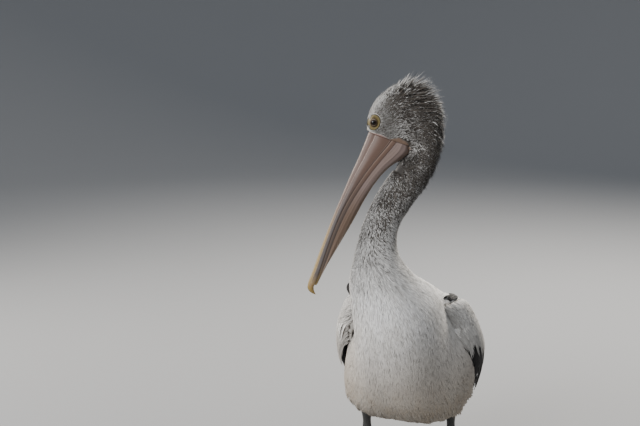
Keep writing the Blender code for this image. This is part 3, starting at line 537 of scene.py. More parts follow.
# Each leg's top, hock and root, then half widths at the heights down it
legs = {
    "left": ((0.112, 0.074, 0.250), (0.113, 0.084, 0.122), (0.110, 0.064, 0.030)),
    "right": ((-0.104, 0.002, 0.250), (-0.106, 0.014, 0.122), (-0.108, -0.006, 0.030)),
    "heights": (0.250, 0.230, 0.200, 0.178, 0.158, 0.146, 0.134, 0.122, 0.107, 0.082, 0.055, 0.040,
                0.0303),
    "across": (0.018, 0.018, 0.0160, 0.0130, 0.0108, 0.0115, 0.0130, 0.0140, 0.0110, 0.0085, 0.0085,
               0.0100, 0.0110),
    "along": (0.022, 0.022, 0.0195, 0.0155, 0.0125, 0.0130, 0.0150, 0.0165, 0.0145, 0.0120, 0.0120,
              0.0130, 0.0135),
}


def between(low, high, z):
    # The points on a leg's straight line at the heights z
    low, high = np.array(low), np.array(high)
    return low + (high - low) * ((np.asarray(z) - low[2]) / (high[2] - low[2]))[..., None]


def limbSurface(centres, across, along, turn):
    # Level ellipses round the centres
    offset = np.stack([across[..., None] * np.cos(turn), along[..., None] * np.sin(turn)], axis=-1)
    flat = np.concatenate([offset, np.zeros(offset.shape[:-1] + (1,))], axis=-1)
    return centres[..., None, :] + flat


def legRings(side, z, sides):
    # The leg from belly to toes: its two straight bones with the given half widths round them
    top, hock, root = legs[side]
    known = np.array(legs["heights"])[::-1]
    sizes = np.stack([legs["across"], legs["along"]], axis=-1)[::-1]
    across, along = smoothThrough(sizes, known, z).T
    centres = np.where((z > hock[2])[:, None], between(hock, top, z), between(root, hock, z))
    return limbSurface(centres, across, along, np.linspace(0, 2 * np.pi, sides, endpoint=False))


# The eyes' place in the head's frame, mm, for the left (1) and the right (-1), their upward look
# in degrees and radius in metres
eyeSeat = {
    "forward": -31.0, "up": {1: 112.5, -1: 101.5}, "out": {1: 18.4, -1: 15.0},
    "lookUp": 18.0, "radius": 0.0105,
}
# The bare ring round each eye, metres: half sizes, how deep it is sunk, its lid opening and that
# one's slant in radians, how much it swells, the lid's edge, thickness, and its grid
eyeRing = {
    "along": 0.0208, "across": 0.0172, "sink": 0.0045, "opening": (0.0100, 0.0072), "slant": 0.45,
    "puff": 0.0022, "lid": 0.0012, "thick": 0.0018, "rows": 30, "sides": 96,
}


def eyeFrame(side):
    # The ball's middle, and unit vectors out of it, along the head and across both
    centre = headPoint(eyeSeat["forward"], eyeSeat["up"][side], side * eyeSeat["out"][side])
    look = math.radians(eyeSeat["lookUp"])
    out = side * headLeft * math.cos(look) + headUp * math.sin(look)
    return centre, out, headAlong, np.cross(out, headAlong)


def ringSpan(points, side):
    # Squared distance from the eye's axis, 1 at the ring's rim; height along it; the axis
    centre, out, along, across = eyeFrame(side)
    away = points - centre
    span = ((away @ along) / eyeRing["along"]) ** 2 + ((away @ across) / eyeRing["across"]) ** 2
    return span, away @ out, out


def sinkSockets(points):
    # Presses the skin in under each bare eye ring
    for side in (1, -1):
        span, level, out = ringSpan(points, side)
        press = eyeRing["sink"] * smoothStep((1.0 - span) / 0.45) * (level > -0.008)
        points = points - press[..., None] * out
    return points


def makeSkin():
    # A grid over the whole loft from tail to face
    at = np.linspace(0.0, loftLength, 420)
    turn = np.linspace(-np.pi, np.pi, 150, endpoint=False)
    atGrid, turnGrid = np.meshgrid(at, turn, indexing="ij")
    bare = bareness(bodySurface(atGrid, turnGrid), atGrid)
    rings = sinkSockets(bodySurface(atGrid, turnGrid, coatDepth(atGrid) * (1 - 0.85 * bare)))
    points, quads, triangles = tube(rings)
    grids = {"mark": darkness(atGrid, turnGrid), "bare": bare, "high": inHead(rings)[..., 1] * 0.01}
    values = {label: np.append(grid, [0.0, 0.0]) for label, grid in grids.items()}
    bake = np.concatenate([skinUv(atGrid, turnGrid).reshape(-1, 2), np.zeros((2, 2))])
    skin = meshPiece("body_skin", points, quads, skinPaint(), triangles, bake, values)
    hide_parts("torso", "neck_lower", "neck_upper", "head")


# Tufts


# A tuft's half width along its length, how far its shading leans, its patch of the atlas
blade = {"at": (0, 0.3, 0.6, 0.85), "wide": (0.60, 1.0, 0.85, 0.45), "lean": 2.0, "patch": 0.003}
pieceTriangles = 192000  # the most triangles in one tuft piece; a tuft piece stays under the size at which a mesh is thinned


def tuftMesh(path, normal, wide, ridged):
    # A three-cornered blade along each path (tufts, stations, 3): flat below, ridged above,
    # full at a third of its length and drawn out to a point. Its shading follows the lie of the
    # coat, leaning a little to either side, as soft barbs do.
    count, stations = path.shape[:2]
    share = np.linspace(0, 1, stations)
    shape = np.interp(share, blade["at"], blade["wide"])
    tangent = unit(np.gradient(path, axis=1))
    side = unit(np.cross(normal, tangent))
    outward = unit(np.cross(tangent, side))
    half = (wide[:, None] * shape / 2)[..., None]
    body = np.stack([path - side * half, path + outward * half * ridged, path + side * half], axis=2)
    points = np.concatenate([body[:, :-1].reshape(count, -1, 3), path[:, -1:]], axis=1)
    lean = np.array([-1.0, 0.0, 1.0])[:, None] * side[:, :, None] * ridged * blade["lean"]
    shading = unit(outward[:, :, None] + lean)
    shading = np.concatenate([shading[:, :-1].reshape(count, -1, 3), outward[:, -1:]], axis=1)
    first = 3 * np.arange(stations - 2)[:, None]
    quads = (first[..., None] + np.array([[0, 1, 4, 3], [1, 2, 5, 4], [2, 0, 3, 5]])).reshape(-1, 4)
    last, tip = 3 * (stations - 2), 3 * (stations - 1)
    triangles = np.array([[last, last + 1, tip], [last + 1, last + 2, tip], [last + 2, last, tip], [0, 2, 1]])
    offset = (np.arange(count) * (tip + 1))[:, None, None]
    shares = np.concatenate([np.repeat(share[:-1], 3), [1.0]])
    sides = np.concatenate([np.tile([-0.5, 0.0, 0.5], stations - 1), [0.0]])
    patch = np.stack([sides, shares - 0.5], axis=-1) * blade["patch"]
    quads, triangles = (quads + offset).reshape(-1, 4), (triangles + offset).reshape(-1, 3)
    return points, shading, quads, triangles, shares, patch


def tuftPieces(name, tufts, ridged=0.36):
    # Splits the tufts, of 6 * stations - 8 triangles each, into pieces
    total, stations = tufts["path"].shape[:2]
    pieces = math.ceil(total * (6 * stations - 8) / pieceTriangles)
    for number, chosen in enumerate(np.array_split(np.arange(total), pieces)):
        part = {key: value[chosen] for key, value in tufts.items()}
        points, shading, quads, triangles, shares, patch = tuftMesh(
            part["path"], part["normal"], part["wide"], ridged)
        values = {
            "tip": np.tile(shares, len(chosen)),
            "tone": np.repeat(part["tone"], len(shares)),
            "mark": np.repeat(part["mark"], len(shares)),
        }
        label = f"{name}_{number + 1}" if pieces > 1 else name
        bake = part["uv"][:, None] + patch
        meshPiece(label, points, quads, plumage, triangles, bake, values, shading)
    print(name, total, "tufts")


def spreadEvenly(area, weight):
    # Systematic draws from cells in proportion to area * weight
    load = (area * weight).ravel()
    total = int(load.sum())
    edges = np.cumsum(load)
    picks = (np.arange(total) + chance.random(total)) / total * edges[-1]
    return np.searchsorted(edges, picks)


def nearEye(points):
    # True inside either bare eye ring
    inside = np.zeros(len(points), bool)
    for side in (1, -1):
        span, level, _ = ringSpan(points, side)
        inside |= (span < 0.95) & (level > -0.004)
    return inside


def turnFrom(pace):
    # Angle round the body from an even pace of -1..1, slowed at the flank and the belly line,
    # where the squared-off belly is widest for its angle
    away = 2 * np.abs(pace)
    slowed = 1 + (1 - np.cos(np.pi * np.clip(away - 1, 0, 1))) / 2
    return np.sign(pace) * np.pi / 2 * np.where(away < 1, away, slowed)


def paceFrom(turn):
    # The pace that gives an angle: the formula above turned round
    away = np.clip(np.abs(turn) / (np.pi / 2), 0, 2)
    slowed = 1 + np.arccos(np.clip(3 - 2 * away, -1, 1)) / np.pi
    return np.sign(turn) * np.where(away < 1, away, slowed) / 2


ringAt = np.linspace(0, loftLength, 90)
ringPace = np.linspace(-1, 1, 161)
ringPoints = bodySurface(*np.meshgrid(ringAt, turnFrom(ringPace), indexing="ij"))
ringRun = np.linalg.norm(np.diff(ringPoints, axis=1), axis=-1).cumsum(axis=1)
ringRun = np.concatenate([np.zeros((len(ringAt), 1)), ringRun], axis=1)


def runRound(at, turn):
    # Length over the skin round the body up to an angle, and all the way round, in metres
    row = np.clip(at / loftLength * (len(ringAt) - 1), 0, len(ringAt) - 1.001)
    column = np.clip((paceFrom(turn) + 1) / 2 * (len(ringPace) - 1), 0, len(ringPace) - 1.001)
    low, left = row.astype(int), column.astype(int)
    down, across = row - low, column - left
    near = ringRun[low, left] * (1 - across) + ringRun[low, left + 1] * across
    far = ringRun[low + 1, left] * (1 - across) + ringRun[low + 1, left + 1] * across
    return near * (1 - down) + far * down, ringRun[low, -1] * (1 - down) + ringRun[low + 1, -1] * down


def featherCells(at, turn):
    # Which feather each tuft belongs to: rows along the bird, each divided round it into
    # feathers of the table's width. Gives how far aside of the feather's middle the tuft is
    # (-0.5..0.5) and a random number for the feather.
    fine = np.linspace(0, loftLength, 2000)
    steps = np.diff(fine) / (growth(fine[:-1], "rowLong") * 0.001)
    rowsBelow = np.concatenate([[0.0], np.cumsum(steps)])
    place = np.interp(at, fine, rowsBelow)
    bend = 0.45 * np.sin(3.0 * turn + 1.7 * place) + 0.35 * np.sin(7.0 * turn + 0.9 * place)
    bend = bend + 0.30 * np.sin(19.0 * turn)
    row = np.floor(place + bend)
    run, whole = runRound(at, turn)
    middleAt = np.interp(row + 0.5 - bend, rowsBelow, fine)
    feathers = np.interp(middleAt, ringAt, ringRun[:, -1]) / (growth(middleAt, "featherWide") * 0.001)
    count = np.maximum(8, np.round(feathers))
    shift = np.sin(row * 12.9898) * 43758.5453
    column = run / whole * count + (shift - np.floor(shift))
    column += 0.35 * np.sin(2.1 * column + 1.3 * row)
    aside = column - np.floor(column) - 0.5
    luck = np.sin(row * 78.233 + np.floor(column) * 37.719) * 24634.6345
    return aside, luck - np.floor(luck)


def roundRate(at, turn):
    # Metres over the skin for each radian round it
    moved = bodySurface(at, turn + slopeStep) - bodySurface(at, turn - slopeStep)
    return np.maximum(np.linalg.norm(moved, axis=-1) / (2 * slopeStep), 0.01)


def alongRate(at, turn):
    # Metres over the skin for each metre of the loft
    moved = bodySurface(at + slopeStep, turn) - bodySurface(at - slopeStep, turn)
    return np.maximum(np.linalg.norm(moved, axis=-1) / (2 * slopeStep), 0.35)


def runOver(at, turn, long, angle, share):
    # Each tuft's way over the skin, step by step: back along the bird by the cosine of its
    # angle and round it by the sine, at the rates of the place it has reached
    places, turns = [at], [turn]
    for stride in np.diff(share):
        at, turn = places[-1], turns[-1]
        places.append(at - stride * long * np.cos(angle) / alongRate(at, turn))
        turns.append(turn - np.sign(turns[0]) * stride * long * np.sin(angle) / roundRate(at, turn))
    return np.stack(places, axis=-1), np.stack(turns, axis=-1)


def rootsOver(first, last, rows, columns):
    # Roots spread over one stretch of the loft, as thickly as the table says
    at = np.linspace(knot(first), knot(last), rows + 1)
    pace = np.linspace(-1, 1, columns + 1)
    atGrid, turnGrid = np.meshgrid(at, turnFrom(pace), indexing="ij")
    corners = bodySurface(atGrid, turnGrid, coatDepth(atGrid))
    diagonal = np.cross(corners[1:, 1:] - corners[:-1, :-1], corners[1:, :-1] - corners[:-1, 1:])
    area = np.linalg.norm(diagonal, axis=-1) / 2
    middle = (atGrid[1:, 1:] + atGrid[:-1, :-1]) / 2
    cell = spreadEvenly(area, growth(middle, "dense") * 1e4)
    row, column = np.unravel_index(cell, area.shape)
    at = at[row] + (at[1] - at[0]) * chance.random(len(cell))
    return at, turnFrom(pace[column] + (pace[1] - pace[0]) * chance.random(len(cell)))


# How the coat lies. The first six pairs are the body's value and what the neck and head add to
# it, the next three are ranges of chance, and the ragged hem under the belly has its height and
# softness in metres and its lift.
coatLie = {
    "wander": (0.3, 1.3), "gather": (0.40, 0.20), "settle": (3.2, -1.6), "raise": (0.04, 0.04),
    "ridge": (0.03, 0.08), "uneven": (0.16, 0.18), "longs": (0.62, 1.12), "wides": (0.75, 1.25),
    "lifts": (0.8, 1.2), "hemHigh": 0.290, "hemSoft": 0.030, "hemLift": 0.13,
}


def graded(name, onNeck):
    body, more = coatLie[name]
    return body + more * onNeck


def coatPlace(at, turn):
    # What the tufts' lie, tone and mark depend on: shares of 0..1, and aside from -0.5 to 0.5
    aside, luck = featherCells(at, turn)
    away = np.abs(turn)
    onHead = smoothStep((at - knot("neckBend")) / 0.12)
    return {
        "aside": aside,
        "ridge": 1 - (2 * aside) ** 2,
        "luck": luck,
        "luckTwo": (luck * 17.31) % 1.0,
        "onHead": onHead,
        "onNeck": smoothStep((at - knot("shoulder")) / 0.16),
        "onBack": onHead * np.exp(-((away / 0.55) ** 2)),
        "onThroat": smoothStep((away - 1.9) / 0.8),
        "onFace": smoothStep((at - knot("crown")) / 0.05) * smoothStep((away - 0.5) / 0.5),
    }


def coatPaths(at, turn, root, here, stations):
    # Each tuft runs over the surface from its root at the skin to a tip that stands a little
    # off the outer line; the tufts of a feather draw together towards its middle
    luck, luckTwo, onNeck, onHead = (here[key] for key in ("luck", "luckTwo", "onNeck", "onHead"))
    long, wide, lift, swept, deep, stray, featherWide = (
        growth(at, name) for name in ("long", "wide", "lift", "sweep", "deep", "stray", "featherWide"))
    count, away = len(at), np.abs(turn)
    long = long * 0.001 * (1 + 0.75 * here["onBack"] - 0.35 * here["onThroat"] * onHead)
    long = long * (0.85 + 0.25 * luckTwo) * chance.uniform(*coatLie["longs"], count)
    wide = wide * 0.001 * chance.uniform(*coatLie["wides"], count)
    hem = smoothStep((coatLie["hemHigh"] - root[:, 2]) / coatLie["hemSoft"]) * (1 - onHead)
    lift = lift + coatLie["hemLift"] * hem * luck**2
    lift = lift * (1 + 0.9 * here["onBack"]) * (1 - 0.6 * here["onThroat"])
    lift = lift * (0.4 + 1.1 * luck) * chance.uniform(*coatLie["lifts"], count)
    angle = np.radians(swept) * smoothStep(away / 0.35) * smoothStep((np.pi - away) / 1.1)
    wander = 0.9 * ripple(root, 0.030, 3) * onNeck + 0.8 * ripple(root, 0.08, 4)
    wander += graded("wander", onNeck) * (luckTwo - 0.5)
    angle += stray * wander + 0.03 * chance.normal(size=count)
    share = np.linspace(0, 1, stations)
    atPath, turnPath = runOver(at, turn, long, angle, share)
    gather = -graded("gather", onNeck) * here["aside"] * featherWide * 0.001 / roundRate(at, turn)
    turnPath = turnPath + gather[:, None] * share**1.3
    crossed = np.sign(turnPath) * np.sign(turn)[:, None] < 0
    turnPath = np.where(crossed, 0.02 * turn[:, None], turnPath)
    path, normal, _, _ = bodyFrame(np.maximum(atPath, 0.0), turnPath)
    deep = deep * 0.001 + 0.0006
    ridge = graded("ridge", onNeck) * here["ridge"] * (0.4 + 0.6 * luck)
    top = lift * long + deep * (graded("raise", onNeck) + ridge)
    settled = graded("settle", onNeck)[:, None]
    high = -deep[:, None] * (1 - share) ** settled + top[:, None] * share**1.3
    return path + normal * high[..., None], normal, wide


def coatToneAndShade(here):
    # 0 light to 1 greyed: feathers in clumps on the neck and in calm streaks on the body, each
    # lightest down its middle and greyer to its edges, partly as painted shade where they lie deeper
    ridge, luckTwo, onNeck, onFace = (here[key] for key in ("ridge", "luckTwo", "onNeck", "onFace"))
    clumped = 0.86 - 0.80 * ridge * (0.5 + 0.5 * here["luck"]) + 0.40 * (luckTwo - 0.5)
    calm = 0.44 - 0.75 * (ridge - 0.5) + 0.60 * (luckTwo - 0.5)
    uneven = graded("uneven", onNeck) * chance.uniform(-1, 1, len(ridge))
    tone = calm + (clumped - calm) * onNeck + uneven
    # The face greyed further: painted shade
    return np.clip(tone * (1 - 0.6 * onFace) + 0.72 * onFace, 0, 1)


def coatMark(at, turn, root, here):
    # How far up its length each tuft is dark: the table's share, patchy by feather and by tuft
    base, onHead = darkness(at, turn), here["onHead"]
    mark = 0.92 * base - 0.18 * (1 - here["ridge"]) + 0.13 + (0.20 + 0.16 * onHead) * (here["luck"] - 0.5)
    mark = mark + (0.13 - 0.04 * onHead) * chance.normal(size=len(at))
    return np.clip((mark + 0.06 * ripple(root, 0.045, 6)) * smoothStep(base / 0.1), 0, 0.90)


def bodyTufts(first, last, rows, columns, stations):
    # Tufts over one stretch of the loft, none of them in the eye rings or on the bare face
    at, turn = rootsOver(first, last, rows, columns)
    root = bodySurface(at, turn, 0.0)
    here = coatPlace(at, turn)
    path, normal, wide = coatPaths(at, turn, root, here, stations)
    tone = coatToneAndShade(here)
    mark = coatMark(at, turn, root, here)
    forward, up, _ = inHead(root).T
    clear = ~nearEye(path.reshape(-1, 3)).reshape(len(at), -1).any(axis=1)
    underBill = (forward > -3.0) & (up > 4.0) & (at > knot("neckHigh"))
    keep = clear & (bareness(root, at) < 0.5) & ~underBill
    tufts = {"path": path, "normal": normal, "wide": wide, "tone": tone, "mark": mark, "uv": skinUv(at, turn)}
    return {key: value[keep] for key, value in tufts.items()}


# Each stretch of the coat: slot, from and to, cells along and round it, a tuft's stations, ridge
coatStretches = {
    "coat_rear": ("plumage_white", "tailRoot", "hip", 120, 160, 4, 0.26),
    "coat_breast": ("plumage_white", "hip", "neckRoot", 150, 170, 4, 0.26),
    "coat_neck": ("plumage_mottled", "neckRoot", "neckBend", 110, 130, 4, 0.36),
    "coat_nape": ("plumage_mottled", "neckBend", "occiput", 130, 130, 3, 0.36),
    "coat_head": ("plumage_mottled", "occiput", "lore", 140, 130, 3, 0.36),
}


def makeCoat():
    # Long soft streaks on the body, short plush on the neck and head
    for name, (slot, first, last, rows, columns, stations, ridged) in coatStretches.items():
        tuftPieces(name, bodyTufts(first, last, rows, columns, stations), ridged)


def standingPath(root, normal, lie, long, rise, curl, sink):
    # path(s) = root + lie * long * s + normal * (long * (rise * s - curl * s^2) - sink * (1 - s))
    share = np.linspace(0, 1, 4)
    off = (rise * long)[:, None] * share - (curl * long)[:, None] * share**2 - sink * (1 - share)
    path = root[:, None] + lie[:, None] * (long[:, None] * share)[..., None]
    path = path + normal[:, None] * off[..., None]
    return path, np.broadcast_to(normal[:, None], path.shape)


# How many, their sizes in metres and spread in radians off the back line; where along it they
# peak and by how much; how dark they are, and how much less along a fringe on the line itself
crest = {
    "count": 2400, "long": (0.015, 0.031), "wide": 0.0021, "wides": (0.7, 1.2), "spread": 0.50,
    "peakBack": 0.01, "peakWide": 0.055, "peakLong": 0.50, "rise": 0.62, "peakRise": 0.50,
    "shown": 0.90, "fringeShown": 0.45, "fringe": 0.16,
}


def makeCrest():
    # Longer pointed feathers that stand from the back line of the nape and crown
    count = crest["count"]
    at = knot("napeLow") + (knot("crownFront") - knot("napeLow")) * chance.random(count)
    turn = crest["spread"] * chance.normal(size=count)
    root, normal, ahead, around = bodyFrame(at, turn, coatDepth(at))
    peak = np.exp(-(((at - knot("crown") + crest["peakBack"]) / crest["peakWide"]) ** 2))
    long = chance.uniform(*crest["long"], count) * (0.85 + crest["peakLong"] * peak)
    long *= 0.35 + 0.65 * smoothStep((knot("crownFront") - at) / 0.05)
    rise = crest["rise"] + crest["peakRise"] * peak + 0.14 * chance.normal(size=count)
    lie = unit(-ahead + around * (0.25 * chance.normal(size=count) - 0.3 * turn)[:, None])
    path, normals = standingPath(root, normal, lie, long, rise, 0.22 * chance.random(count), 0.0015)
    shown = crest["shown"] - crest["fringeShown"] * np.exp(-((turn / crest["fringe"]) ** 2))
    wide = crest["wide"] * chance.uniform(*crest["wides"], count)
    tone = chance.random(count)
    mark = np.clip(darkness(at, turn) * shown + 0.14 * chance.normal(size=count), 0, 0.88)
    tufts = {"path": path, "normal": normals, "wide": wide, "tone": tone, "mark": mark}
    tufts["uv"] = skinUv(at, turn)
    tuftPieces("coat_crest", tufts)


thighCoat = {
    "count": 700, "cells": 40, "heights": (0.250, 0.205), "long": (0.012, 0.022), "wide": (0.003, 0.005),
    "rise": 0.14, "curl": 0.05, "sink": 0.001, "uv": {"left": 0.15, "right": 0.85},
}


def makeThighCoat(side):
    # A short fringe where the leg leaves the belly
    count, cells = thighCoat["count"], thighCoat["cells"]
    rings = legRings(side, np.linspace(*thighCoat["heights"], cells), cells)
    row = (chance.random(count) * cells).astype(int)
    column = (chance.random(count) * cells).astype(int)
    root = rings[row, column]
    normal = unit(root - rings[row].mean(axis=1))
    lie = np.tile([0.0, 0.0, -1.0], (count, 1)) + 0.12 * chance.normal(size=(count, 3))
    lie = unit(lie - normal * (lie * normal).sum(axis=-1, keepdims=True))
    long = chance.uniform(*thighCoat["long"], count)
    rise, curl = (np.full(count, thighCoat[key]) for key in ("rise", "curl"))
    path, normals = standingPath(root, normal, lie, long, rise, curl, thighCoat["sink"])
    uv = np.stack([thighCoat["uv"][side] + 0.1 * column / cells, 0.02 + 0.1 * row / cells], axis=-1)
    tufts = {"path": path, "normal": normals, "wide": chance.uniform(*thighCoat["wide"], count),
             "tone": chance.random(count), "mark": np.zeros(count), "uv": uv}
    tuftPieces("coat_thigh_" + side, tufts)


# Wings

# The folded wing's upper edge, fullest line and tips, each from the wrist to the rump, and how
# far each of the three is shifted on either side
wingCurves = {
    "top": ((0.132, -0.036, 0.526), (0.142, 0.045, 0.530), (0.096, 0.165, 0.492), (0.030, 0.295, 0.412)),
    "full": ((0.158, -0.022, 0.430), (0.190, 0.055, 0.425), (0.161, 0.175, 0.392), (0.090, 0.312, 0.366)),
    "tips": ((0.172, 0.030, 0.326), (0.172, 0.120, 0.225), (0.130, 0.280, 0.262), (0.058, 0.425, 0.368)),
    "left": ((0.008, 0.0, -0.004), (0.000, 0.0, 0.004), (-0.010, 0.0, 0.004)),
    "right": ((-0.006, -0.010, -0.010), (-0.011, -0.010, -0.010), (-0.008, -0.010, -0.010)),
    "places": (0.0, 0.3, 0.62, 1.0), "fullest": 0.42,
}
# The arm's pad ends at a share of the way down, its edges turn in, and a shelf runs in over the
# back, shallower towards the rump
wingPad = {
    "end": {"left": 0.43, "right": 0.60}, "coat": 0.004, "wristTurn": {"left": 0.018, "right": 0.028},
    "wristReach": 0.18, "rearTurn": 0.006, "rearReach": 0.10, "topTurn": 0.011, "topReach": 0.14,
    "lipTurn": 0.004, "lipReach": 0.08, "roofDeep": 0.090, "roofLess": 0.050, "roofRise": 0.25,
}


def wingSurface(side, u, v):
    # A quadratic in v through the top edge at 0, the fullest line and the tips at 1, each of
    # them a smooth curve in u from the wrist to the rump
    mirror = (outwards[side], 1, 1)
    u, v = np.broadcast_arrays(np.asarray(u, float), np.asarray(v, float))
    top, full, tips = (
        smoothThrough(np.array(wingCurves[key]) * mirror + shift, wingCurves["places"], u)
        for key, shift in zip(("top", "full", "tips"), wingCurves[side])
    )
    m = wingCurves["fullest"]
    a = ((v - m) * (v - 1) / m)[..., None]
    b = (v * (v - 1) / (m * (m - 1)))[..., None]
    c = (v * (v - m) / (1 - m))[..., None]
    return a * top + b * full + c * tips


def wingNormal(side, u, v):
    step = 1e-3
    du = wingSurface(side, u + step, v) - wingSurface(side, u - step, v)
    dv = wingSurface(side, u, v + step) - wingSurface(side, u, v - step)
    normal = unit(np.cross(dv, du))
    return normal * np.sign(normal[..., :1] * outwards[side] + 1e-9)


def roundOver(x):
    # From 0 at an edge up to 1 a radius in, as a quarter circle
    return np.sqrt(1 - (1 - np.clip(x, 0, 1)) ** 2)


def wristTurn(side, u):
    # How far the wing's front edge is drawn in towards the breast
    return wingPad["wristTurn"][side] * (1 - roundOver(u / wingPad["wristReach"]))


def wingPadSurface(side, u, v, depth=0.0, lip=1.0):
    # The folded arm's outer face, rounded over at its wrist, rear and upper edges
    normal = wingNormal(side, u, v)
    rear = 1 - roundOver((1 - u) / wingPad["rearReach"])
    upper = 1 - roundOver(v / wingPad["topReach"])
    lower = 1 - roundOver((wingPad["end"][side] - v) / wingPad["lipReach"])
    sunk = wristTurn(side, u) + wingPad["rearTurn"] * rear + wingPad["topTurn"] * upper
    sunk = sunk + wingPad["lipTurn"] * lower * lip + depth
    return wingSurface(side, u, v) - normal * sunk[..., None], normal


def roofAcross(side):
    # From the wing's upper edge in over the back
    return unit(np.array([-1.0 * outwards[side], 0.0, wingPad["roofRise"]]))


def roofSurface(side, u, inwards):
    # The shelf between the wing's upper edge and the back; inwards is a share of its depth
    edge, _ = wingPadSurface(side, u, 0.0 * u, wingPad["coat"])
    deep = inwards * (wingPad["roofDeep"] - wingPad["roofLess"] * u)
    return edge + roofAcross(side) * deep[..., None]


def roofNormal(side, u, inwards):
    step = 1e-3
    tangent = roofSurface(side, u + step, inwards) - roofSurface(side, u - step, inwards)
    normal = unit(np.cross(tangent, np.broadcast_to(roofAcross(side), tangent.shape)))
    return normal * np.sign(normal[..., 2:])


def wingUv(u, v, start=0.0):
    return np.stack([start + u * 0.45, v], axis=-1)


def makeWingPad(side):
    # Outer face and an inner face let into the flank, closed along the rim
    places = 0.5 - 0.5 * np.cos(np.linspace(0, np.pi, 70))
    down = np.linspace(0, wingPad["end"][side], 40)
    u, v = np.meshgrid(places, down, indexing="ij")
    outer, normal = wingPadSurface(side, u, v, wingPad["coat"])
    turned = np.clip(1 - v / 0.30, 0, 1)[..., None]
    inward = unit(turned * roofAcross(side) - (1 - turned) * normal)
    deep = wingPad["roofDeep"] - wingPad["roofLess"] * u
    deep = 0.006 + deep * np.clip((wingCurves["fullest"] - v) / 0.25, 0, 1)
    drawnIn = wristTurn(side, u) / wingPad["wristTurn"][side]
    inner = outer + inward * (deep * (1 - 0.5 * drawnIn))[..., None]
    points, quads = slabFaces(outer, inner)
    bake = np.concatenate([wingUv(u, v).reshape(-1, 2), wingUv(u, v, 0.5).reshape(-1, 2)])
    values = {"mark": np.zeros(len(points))}
    pad = meshPiece("wing_skin_" + side, points, quads, wingSkin, None, bake, values)
    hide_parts("wing_" + side)


def rimLoop(rows, columns):
    # The border of a grid, once round
    return np.concatenate([
        np.arange(columns),
        np.arange(1, rows) * columns + columns - 1,
        (rows - 1) * columns + np.arange(columns - 2, -1, -1),
        np.arange(rows - 2, 0, -1) * columns,
    ])


def slabFaces(outer, inner):
    # A closed plate between two grids of the same shape
    rows, columns = outer.shape[:2]
    quads = gridQuads(rows, columns)
    under = rows * columns
    rim = rimLoop(rows, columns)
    after = np.roll(rim, -1)
    edge = np.stack([after, rim, rim + under, after + under], axis=1)
    points = np.concatenate([outer.reshape(-1, 3), inner.reshape(-1, 3)])
    return points, np.concatenate([quads, quads[:, ::-1] + under, edge])


# The coverts: how many, their sizes, how far down the wing they reach, how dark their bases are (a
# mark that also greys them, as painted shade), the feathers along and down it that they gather
# into, and how they grow down the wing
wingCoat = {
    "count": 6600, "shelfCount": 900, "long": (0.019, 0.027), "wide": (0.0045, 0.0070),
    "end": {"left": 0.37, "right": 0.62}, "mark": {"left": 0.17, "right": 0.08}, "groups": (26, 12),
    "longer": 1.10, "wider": 0.35, "slant": 0.45, "lifts": (0.0005, 0.0028), "over": 0.0032,
    "wingLong": 0.42, "wingDeep": 0.24, "shelfLong": 0.40, "shelfLifts": (0.0030, 0.0055),
}


def makeWingCoat(side):
    # Small overlapping coverts from the wrist over the folded arm
    count, end = wingCoat["count"], wingCoat["end"][side]
    u = chance.random(count) ** 0.9
    v = end * chance.random(count)
    lower = smoothStep((v - 0.12) / (end - 0.12))
    across, down = wingCoat["groups"]
    row = np.floor(v * down / 0.5 + 0.4 * np.sin(u * 40))
    column = u * across + 0.5 * (row % 2) + 0.3 * np.sin(row * 5.1)
    aside = column - np.floor(column) - 0.5
    luck = np.sin(np.floor(column) * 91.7 + row * 47.3) * 9631.7
    luck = luck - np.floor(luck)
    share = np.linspace(0, 1, 4)
    long = chance.uniform(*wingCoat["long"], count) * (1 + wingCoat["longer"] * lower)
    long = long * (1 + (0.3 + 0.7 * lower) * (luck - 0.45))
    slant = wingCoat["slant"] + 0.10 * chance.normal(size=count)
    uPath = u[:, None] + (long * slant / wingCoat["wingLong"])[:, None] * share
    uPath = np.clip(uPath - 0.6 * (aside / across)[:, None] * share**1.5, 0, 1)
    steep = np.sqrt(np.clip(1 - slant**2, 0, 1))
    vPath = v[:, None] + (long * steep / wingCoat["wingDeep"])[:, None] * share
    path, normal = wingPadSurface(side, uPath, vPath, 0.0, 0.0)
    high = -(wingPad["coat"] + 0.0008) * (1 - share) ** 1.3
    high = high + chance.uniform(*wingCoat["lifts"], (count, 1)) * share**1.5
    high = high + wingCoat["over"] * lower[:, None] * smoothStep(share / 0.4)
    high = high + ((0.0004 + 0.0016 * lower) * luck * (1 - 4 * aside**2))[:, None] * share
    wide = chance.uniform(*wingCoat["wide"], count) * (1 + wingCoat["wider"] * lower)
    # Greyer to each covert's edges, partly painted shade where they lie deeper, and by chance
    tone = 0.25 + 0.8 * np.abs(aside) + 0.3 * (luck - 0.5) + 0.2 * chance.random(count)
    # The side's mark greys the coverts and darkens their bases, partly as painted shade
    tufts = {"path": path + normal * high[..., None], "normal": normal, "wide": wide,
             "tone": np.clip(tone, 0, 1), "mark": np.full(count, wingCoat["mark"][side]), "uv": wingUv(u, v)}
    tuftPieces("coat_wing_" + side, tufts)


